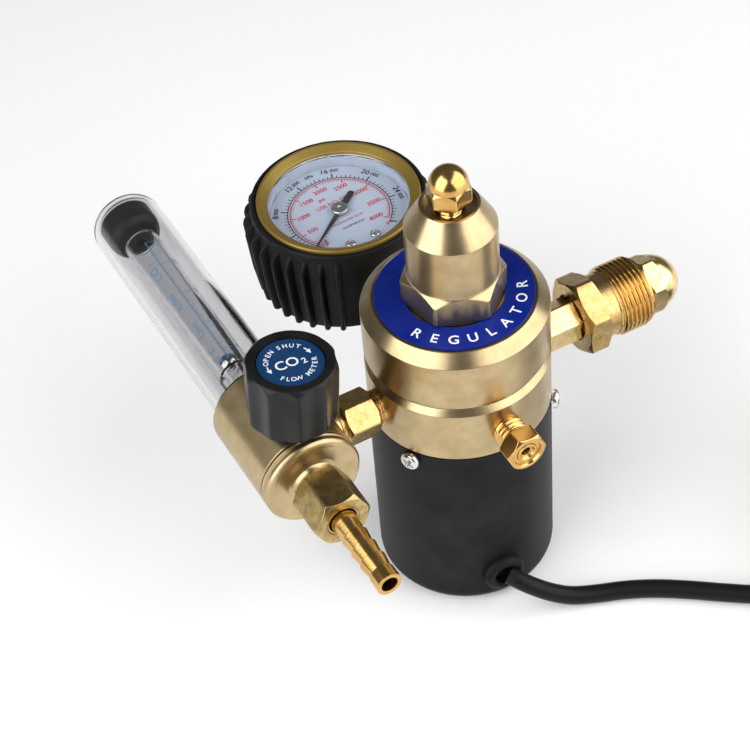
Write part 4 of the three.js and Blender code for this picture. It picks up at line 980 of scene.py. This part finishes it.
def boot():
    bottom, top = low("gauge_boot").z, high("gauge_boot").z
    shell = [(bottom, 28.0), (bottom + 1, 28.4), (89, 30.2), (top - 1, 30.25)]
    rib = [(bottom, 29.8), (bottom + 0.6, 30.3), (76, 32.1), (90.5, 33.3), (92.4, 32.8), (93.8, 31.9),
           (95.2, 30.2)]

    def along(line, z):
        for (z0, r0), (z1, r1) in zip(line, line[1:]):
            if z <= z1:
                return r0 + (r1 - r0) * (z - z0) / (z1 - z0)
        return line[-1][1]

    angles = []
    pitch = math.radians(RIB_SPAN / (BOOT_RIBS - 1))
    first = math.radians(RIB_START)
    for i in range(BOOT_RIBS):
        centre = first + i * pitch
        half = math.asin(RIB_HALF / BOOT_R)
        angles += [centre + half * t for t in (-1.25, -1, -0.8, -0.5, -0.2, 0.2, 0.5, 0.8, 1, 1.25)]
    last = angles[-1]
    gap = 2 * math.pi + angles[0] - last
    angles += [last + gap * i / 16 for i in range(1, 16)]

    def column(angle):
        off = min((math.remainder(angle - first - i * pitch, 2 * math.pi) for i in range(BOOT_RIBS)), key=abs)
        share = min(1, abs(math.sin(off)) * BOOT_R / RIB_HALF)
        proud = max(0, 1 - share**2.6) ** 0.6
        heights = [bottom + 0.05, bottom + 0.6, bottom + 1.2, 70, 76, 82, 87, 90.5, 91.6, 92.4, 93.1, 93.8,
                   94.5, 95.2, 95.6]
        made = [(25.6, bottom), (27.4, bottom)]
        for z in heights:
            base = along(shell, z)
            made.append((base + max(0, along(rib, z) - base) * proud * (z < 95.2), z))
        made += [(30.25, top - 1.2), (30.1, top - 0.5), (29.6, top - 0.08), (29.2, top), (28.6, top - 0.1),
                 (28.4, top - 0.5), (28.4, 96.3), (25.5, 96.2), (25.5, 67.8), (22.6, 67.6), (22.6, bottom)]
        return made

    mesh = columns_mesh("boot", angles, column, True)
    finished("boot", mesh, GAUGE_AXIS, RUBBER_BLACK, "gauge_boot", smooth=50)


def gauge_stem():
    axis, flats = axis_at((0, 0, PORT_Z), (0, 1, 0)), 11

    def outline(radius_at):
        hexagon = chamfered(flats, radius_at(flats), 31, 45)[1:]
        return [(0, 28), (5, 28), (5, 31)] + hexagon + [(5, 45), (5, 57), (0, 57)]

    hexed("gauge_connector", outline, (31, 45), axis, FITTING_BRASS, "gauge_stem", 0.12, False)


# ---------- relief valve ----------

def relief_valve():
    axis = RELIEF_AXIS
    threaded("relief_thread", [(3, 28), (5.2, 28), (5.2, 29.8)], (5.45, 0.75, 1.6, 29.8, 36.2, 0.5),
             [(4.6, 36.2), (3, 36.2)], axis, GOLD_BRASS["Y"], "relief_valve_body", 96, smooth=60)
    start, end, flats = -high("relief_valve_cap").y, -low("relief_valve_cap").y, 12.4

    def cap(radius_at):
        radius = radius_at(flats)
        face = flats / 2 - 0.15
        fall = (radius - face) * 0.6
        return [(3, start), (face, start), (radius, start + fall), (radius, end - 0.1 - fall * 1.5),
                (face, end - 0.1), (5.4, end), (4.9, end), (4.6, end - 1), (3.6, end - 1), (3.4, end - 0.4),
                (2.7, end - 0.4), (2.2, end - 1.3), (1.5, end - 1.5), (1.5, end - 2.4), (3, end - 2.4)]

    hexed("relief_cap", cap, (start, end), axis, GOLD_BRASS["Y"], "relief_valve_cap", 0.12)


# ---------- outlet and flowmeter ----------

def outlet_fitting():
    axis, flats = OUTLET_AXIS, 14.5

    def outline(radius_at):
        hexagon = chamfered(flats, radius_at(flats), 32.2, 43, 0.6)
        tail = [(5.2, 43.2), (5.2, 44.4), (5.9, 44.8), (5.9, 46.2), (5.2, 46.6), (5.2, 51), (2.4, 51)]
        return [(2.4, 28), (5.9, 28), (5.9, 32.2)] + hexagon + tail

    hexed("outlet_hexagon", outline, (32, 43.1), axis, FITTING_BRASS, "outlet_fitting", 0.15)
    threaded("outlet_thread", [(5.6, 29.5)], (6.3, 0.45, 0.9, 29.5, 32.3), [(5.6, 32.3)], axis,
             GOLD_BRASS["X"], "outlet_fitting", 72, smooth=60, instead=False)


FLOW_R = 16.3


def flowmeter_body():
    axis = FLOW_AXIS
    front, back = low("flowmeter_body").y, high("flowmeter_body").y
    outline = [(2.2, front), (FLOW_R, front), (FLOW_R, back), (12.9, back), (12.9, 12), (2.2, 12)]
    turned("flow_body", outline, axis, SATIN_BRASS["Y"], "flowmeter_body", 0.5, 192)
    cap_front, plug_front, plug_back = -17.0, -25.5, high("flowmeter_end_cap").y
    seat = plug_back - 3.5
    outline = [(2.2, plug_back), (11, plug_back), (11, seat), (FLOW_R - 0.15, seat), (FLOW_R, seat - 0.2),
               (FLOW_R, seat - 1.1), (FLOW_R - 0.5, seat - 1.3), (FLOW_R - 0.5, seat - 1.7),
               (FLOW_R, seat - 1.9), (FLOW_R, cap_front + 0.9), (FLOW_R - 0.7, cap_front),
               (FLOW_R - 1.8, cap_front), (FLOW_R - 3, cap_front + 0.25), (8.6, cap_front + 0.5),
               (7.2, cap_front + 0.1), (6.6, cap_front - 1), (6.5, cap_front - 2.3), (6.9, cap_front - 2.6),
               (6.9, cap_front - 3.2), (6.5, cap_front - 3.5), (6.5, plug_front), (2.2, plug_front)]
    turned("flow_end_cap", outline, axis, SATIN_BRASS["Y"], "flowmeter_end_cap", 0.2, 192)


def flow_tubes():
    axis = FLOW_AXIS
    start, end, r = low("flow_tube").y, high("flow_tube").y, 12.6
    inner = r - 2.2
    outline = [(r, start)] + arc(r - 6, end - 6, 6, 0, 90, 12) + [(0, end), (0, end - 2)]
    outline += arc(inner - 4.2, end - 6.2, 4.2, 90, 0, 10) + [(inner, start)]
    mesh = columns_mesh("outer_tube", even_angles(96), lambda _: outline, True)
    finished("outer_tube", mesh, axis, ACRYLIC, "flow_tube", smooth=40)
    start, end = low("metering_tube").y, high("metering_tube").y
    outline = [(2.2, start), (6.2, start), (6.2, end), (4.9, end), (3.6, 37.3), (2.2, 37.3)]
    turned("inner_tube", outline, axis, ACRYLIC, "metering_tube", 0.15, 96)
    gasket_start, gasket_end = low("tube_gasket").y, high("tube_gasket").y
    outline = [(12.75, gasket_start - 0.2), (FLOW_R - 1.0, gasket_start - 0.2),
               (FLOW_R - 0.9, gasket_start + 0.6), (FLOW_R - 1.6, gasket_end), (12.75, gasket_end)]
    turned("gasket", outline, axis, RUBBER_BLACK, "tube_gasket", 0.3, 128)
    nib, shoulder, back = low("tube_stopper").y, 112, high("tube_stopper").y
    outline = [(1.5, nib), (4.2, nib), (5, nib + 0.8), (5, shoulder - 0.5), (7.4, shoulder),
               (9.2, shoulder + 1.6), (9.5, shoulder + 3), (9.5, back - 2.5), (8.7, back - 1), (6.5, back),
               (1.5, back)]
    turned("stopper", outline, axis, STOPPER_BLACK, "tube_stopper", 0.3, 96)


SCALE_LINE_X = -1.0
SCALE_PLACES = [(43.2, "5"), (57.3, "10"), (73.6, "15"), (90.0, "20"), (102.6, "25")]
SCALE_WORDS = [
    ("20", 3.2, -4.0, 40.3), ("C", 3.2, -4.0, 45.2), ("L/min", 3.2, -3.6, 56.2), ("FLOW", 3.0, -4.0, 72),
    ("CO", 4.2, -4.0, 87.6), ("2", 2.6, -3.4, 92.8),
]


def tube_scale():
    """The flow scale, printed along the top of the metering tube. Letters run away from the knob."""
    r = 6.25
    upright = FLOW_AXIS.to_3x3().inverted()

    def surface(x, y, z):
        angle = x / r
        return upright @ Vector(((r + z) * math.sin(angle), y, (r + z) * math.cos(angle)))

    ink = Print(0.05)
    line = SCALE_LINE_X
    ink.draw([(line - 0.16, 38.5), (line + 0.16, 38.5), (line + 0.16, 102.8), (line - 0.16, 102.8)])
    for (start, _), (end, _) in zip([(38.2, "")] + SCALE_PLACES, SCALE_PLACES):
        for i in range(1, 5):
            y = start + (end - start) * i / 5
            ink.draw([(line, y - 0.09), (line + 2.3, y - 0.09), (line + 2.3, y + 0.09), (line, y + 0.09)])
    for y, figure in SCALE_PLACES:
        ink.draw([(line, y - 0.14), (line + 3.8, y - 0.14), (line + 3.8, y + 0.14), (line, y + 0.14)])
        ink.write(figure, 2.6, line + 5.6, y + 0.4, 90)
    for text, size, x, y in SCALE_WORDS:
        ink.write(text, size, x, y, 90)
    ink.onto("tube_scale", surface, FLOW_AXIS, PRINT_TUBE, "metering_tube")


def float_ball():
    built = bmesh.new()
    bmesh.ops.create_uvsphere(built, u_segments=48, v_segments=32, radius=3.2)
    axis = Matrix.Translation(middle("float_ball"))
    finished("ball", mesh_of(built, "ball"), axis, CHROME, "float_ball")


# ---------- flow knob ----------

KNOB_TOP, KNOB_HEIGHT, KNOB_TOP_R, KNOB_BOTTOM_R = 40, 21.5, 14.75, 14.3
KNOB_LOBES, KNOB_DEPTH, KNOB_DISC_R = 10, 1.15, 10.4


def flow_knob():
    axis = KNOB_AXIS
    top, base = KNOB_TOP, KNOB_TOP - KNOB_HEIGHT
    corner = corner_angle("flow_knob", axis, base, top)
    heights = [base, base + 0.25, base + 0.7, base + 1.2, base + 6, base + 12, top - 7, top - 6, top - 5.2,
               top - 4.6, top - 4, top - 3.4, top - 2.8, top - 2.2, top - 1.6, top - 1.1, top - 0.7,
               top - 0.35, top - 0.12, top]
    rim_height, rim_in = 4.2, 2.3

    def column(angle):
        wave = 0.5 - 0.5 * math.cos(KNOB_LOBES * (angle - corner))
        flute = KNOB_DEPTH * wave**0.6
        made = [(10.4, base + 1.5), (11.2, base)]
        for z in heights:
            share = (z - base) / KNOB_HEIGHT
            side = KNOB_BOTTOM_R + (KNOB_TOP_R - KNOB_BOTTOM_R) * share
            rise = max(0, (z - (top - rim_height)) / rim_height)
            rim = side + 0.25 - rim_in * (1 - math.sqrt(max(0, 1 - rise**2.2)))
            foot = side - 0.8 + 0.8 * math.sqrt(min(1, max(0, (z - base) / 0.9)))
            made.append((min(side - flute, rim, foot), z))
        made += [(11.3, top), (10.75, top - 0.12), (10.7, top - 0.4), (10.7, top - 1.7), (2.8, top - 1.7),
                 (2.8, base + 4.7), (8.3, base + 4.7), (8.3, base + 1.5)]
        return made

    mesh = columns_mesh("knob", even_angles(KNOB_LOBES * 18), column, True)
    finished("knob", mesh, axis, KNOB_BLACK, "flow_knob", smooth=42)
    disc_top = top - 0.8
    outline = [(0, disc_top - 0.6), (KNOB_DISC_R, disc_top - 0.6), (KNOB_DISC_R, disc_top), (0, disc_top)]
    turned("knob_label", outline, axis, DISC_BLUE, "knob_disc", 0.1, 96, False)
    ink = Print()
    ink.write_round("OPEN", 2.3, 7.4, 157, -13.4, inward=False, bold=0.03)
    ink.write_round("SHUT", 2.3, 7.3, 93, -16, inward=False, bold=0.03)
    ink.write_round("FLOW METER", 2.3, 7.3, -137, 13.6, inward=True, bold=0.03)
    ink.write("CO", 5.2, -1.3, -0.1, 0, 0.05)
    ink.write("2", 3.2, 4.0, -1.2, 0, 0.05)
    for start, way in ((31, -1), (168, 1)):
        ink.band(7.15, 7.55, start, start + way * 13, 8)
        tip = math.radians(start + way * 25)
        root = math.radians(start + way * 12)
        ink.draw([(r * math.cos(a), r * math.sin(a)) for r, a in ((7.35, tip), (8.2, root), (6.5, root))])
    ink.onto("knob_lettering", flat_at(disc_top), axis, PRINT_WHITE, "knob_disc")


def needle_valve():
    flats = 13

    def outline(radius_at):
        hexagon = chamfered(flats, radius_at(flats), 16.6, 22.2)
        return [(2.8, 12.5), (5.5, 12.5), (5.5, 16.6)] + hexagon + [(2.8, 22.2)]

    hexed("gland_nut", outline, (16.5, 22.3), KNOB_AXIS, FITTING_BRASS, "valve_gland", 0.12)


# ---------- hose end ----------

def hose_end():
    axis = axis_at((FLOW_AXIS.translation.x, 0, FLOW_AXIS.translation.z), (0, -1, 0))
    start, end, flats = -high("hose_nut").y, -low("hose_nut").y, 17.2

    def nut(radius_at):
        radius = radius_at(flats)
        face = flats / 2 - 0.1
        fall = (radius - face) * 0.9
        return [(6.9, start), (face, start), (radius, start + fall * 0.6), (radius, end - fall), (face, end),
                (5.7, end), (5.3, end - 0.5), (4.75, end - 0.5), (4.75, 30.5), (7.4, 30.5), (7.4, 25.7),
                (6.9, 25.7)]

    hexed("hose_nut_hexagon", nut, (start, end), axis, OLIVE_BRASS, "hose_nut", 0.15)
    first, ring_start, tip = 37.6, 59.6, -low("hose_barb").y
    pitch = (ring_start - first) / 4
    outline = [(2.7, 26), (7, 26), (7, 30), (4.2, 30), (4.25, 35.9), (4.05, first - 0.2), (4.3, first)]
    for i in range(1, 4):
        outline += [(3.6, first + i * pitch - 0.12), (4.3, first + i * pitch)]
    outline += [(3.6, ring_start - 0.12), (4.1, ring_start), (4.1, tip), (2.7, tip), (2.7, 45)]
    turned("hose_tail", outline, axis, GOLD_BRASS["Y"], "hose_barb", 0.1, 96)


# ---------- hidden pieces keep their CAD shape ----------

HIDDEN = {
    "heater_block": ALUMINIUM, "heater_cartridges": STEEL, "diaphragm_plate": ALUMINIUM,
    "spring_button": STEEL, "valve_poppet": STEEL, "valve_seat": STOPPER_BLACK,
    "inlet_filter": GOLD_BRASS["X"], "gauge_case": DIAL_WHITE, "gauge_sector": GOLD_BRASS["Z"],
    "bourdon_tube": GOLD_BRASS["Z"], "relief_poppet": STEEL, "flow_valve_stem": STEEL,
    "plug_pin_1": STEEL, "plug_pin_2": STEEL,
}


def carried_over():
    for node, look in HIDDEN.items():
        mesh = frame["nodes"][node].data
        mesh.materials.clear()
        mesh.materials.append(look)


# Each spring and the diaphragm: node, joint whose parts press on it, direction in which it gives,
# the end that stays, share of its length left at full travel
YIELDING = [
    ("range_spring", "spring_load", (0, 0, 1), low("range_spring"), 0.86, STEEL, "spring_steel"),
    ("poppet_spring", "valve_travel", (0, 0, 1), low("poppet_spring"), 0.74, STEEL, "spring_steel"),
    ("relief_spring", "relief_lift", (0, 1, 0), low("relief_spring"), 0.81, STEEL, "spring_steel"),
    ("diaphragm", "valve_travel", (0, 0, 1), low("diaphragm"), 0.4, RUBBER_BLACK, "rubber_black"),
]


def yielding_pieces():
    """The springs and the diaphragm, as copies of their CAD meshes that move with the body."""
    for node, pressed_by, way, fixed, keep, look, slot in YIELDING:
        mesh = frame["nodes"][node].data.copy()
        mesh.materials.clear()
        mesh.materials.append(look)
        piece = placed(f"{node}_soft", mesh)
        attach(piece, BODY)
        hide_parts(node)
        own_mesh(piece)
        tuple(way)


# ---------- floor and lights ----------

def stage():
    built = bmesh.new()
    bmesh.ops.create_grid(built, x_segments=2, y_segments=2, size=4)
    mesh = mesh_of(built, "floor")
    nodes = Nodes("floor")
    cloud = nodes.noise(nodes.place(), 2.0, 2.0)
    nodes.colour(nodes.mixed(nodes.spread(cloud, 0.3, 0.7), [0.93, 0.93, 0.93, 1], [0.95, 0.95, 0.95, 1]))
    nodes.set(Roughness=0.7)
    mesh.materials.append(nodes.material)
    floor = placed("floor", mesh)
    floor.location.z = -0.0002


def lamp(name, place, aim, size, power):
    data = bpy.data.lights.new(name, "AREA")
    data.shape = "RECTANGLE"
    data.size, data.size_y = size
    data.energy = power
    made = placed(name, data)
    made.location = place
    made.rotation_euler = (Vector(aim) - Vector(place)).to_track_quat("-Z", "Y").to_euler()


def lights():
    """Two tall soft boxes in front, to the left and right, in a dim room."""
    aim = (0, 0, 0.06)
    lamp("left_box", (-0.845, -0.15, 0.6), aim, (1.0, 1.3), 15)
    lamp("right_box", (0.64, -0.58, 0.6), aim, (1.6, 1.3), 19)
    world = bpy.data.worlds.new("studio")
    world.use_nodes = True
    background = world.node_tree.nodes["Background"]
    background.inputs["Color"].default_value = (1, 1, 1, 1)
    background.inputs["Strength"].default_value = 0.13
    bpy.context.scene.world = world
    bpy.context.scene.view_settings.view_transform = "Standard"


for build in (stage, lights, power_cord, cord_grommet, heater_housing, housing_screws, lower_body,
              bonnet, label, spring_bonnet, adjuster, inlet, gauge_shell, dial, stop_pin, needle,
              boot, gauge_stem, relief_valve, outlet_fitting, flowmeter_body, flow_tubes, tube_scale,
              float_ball, flow_knob, needle_valve, hose_end, carried_over, yielding_pieces):
    build()
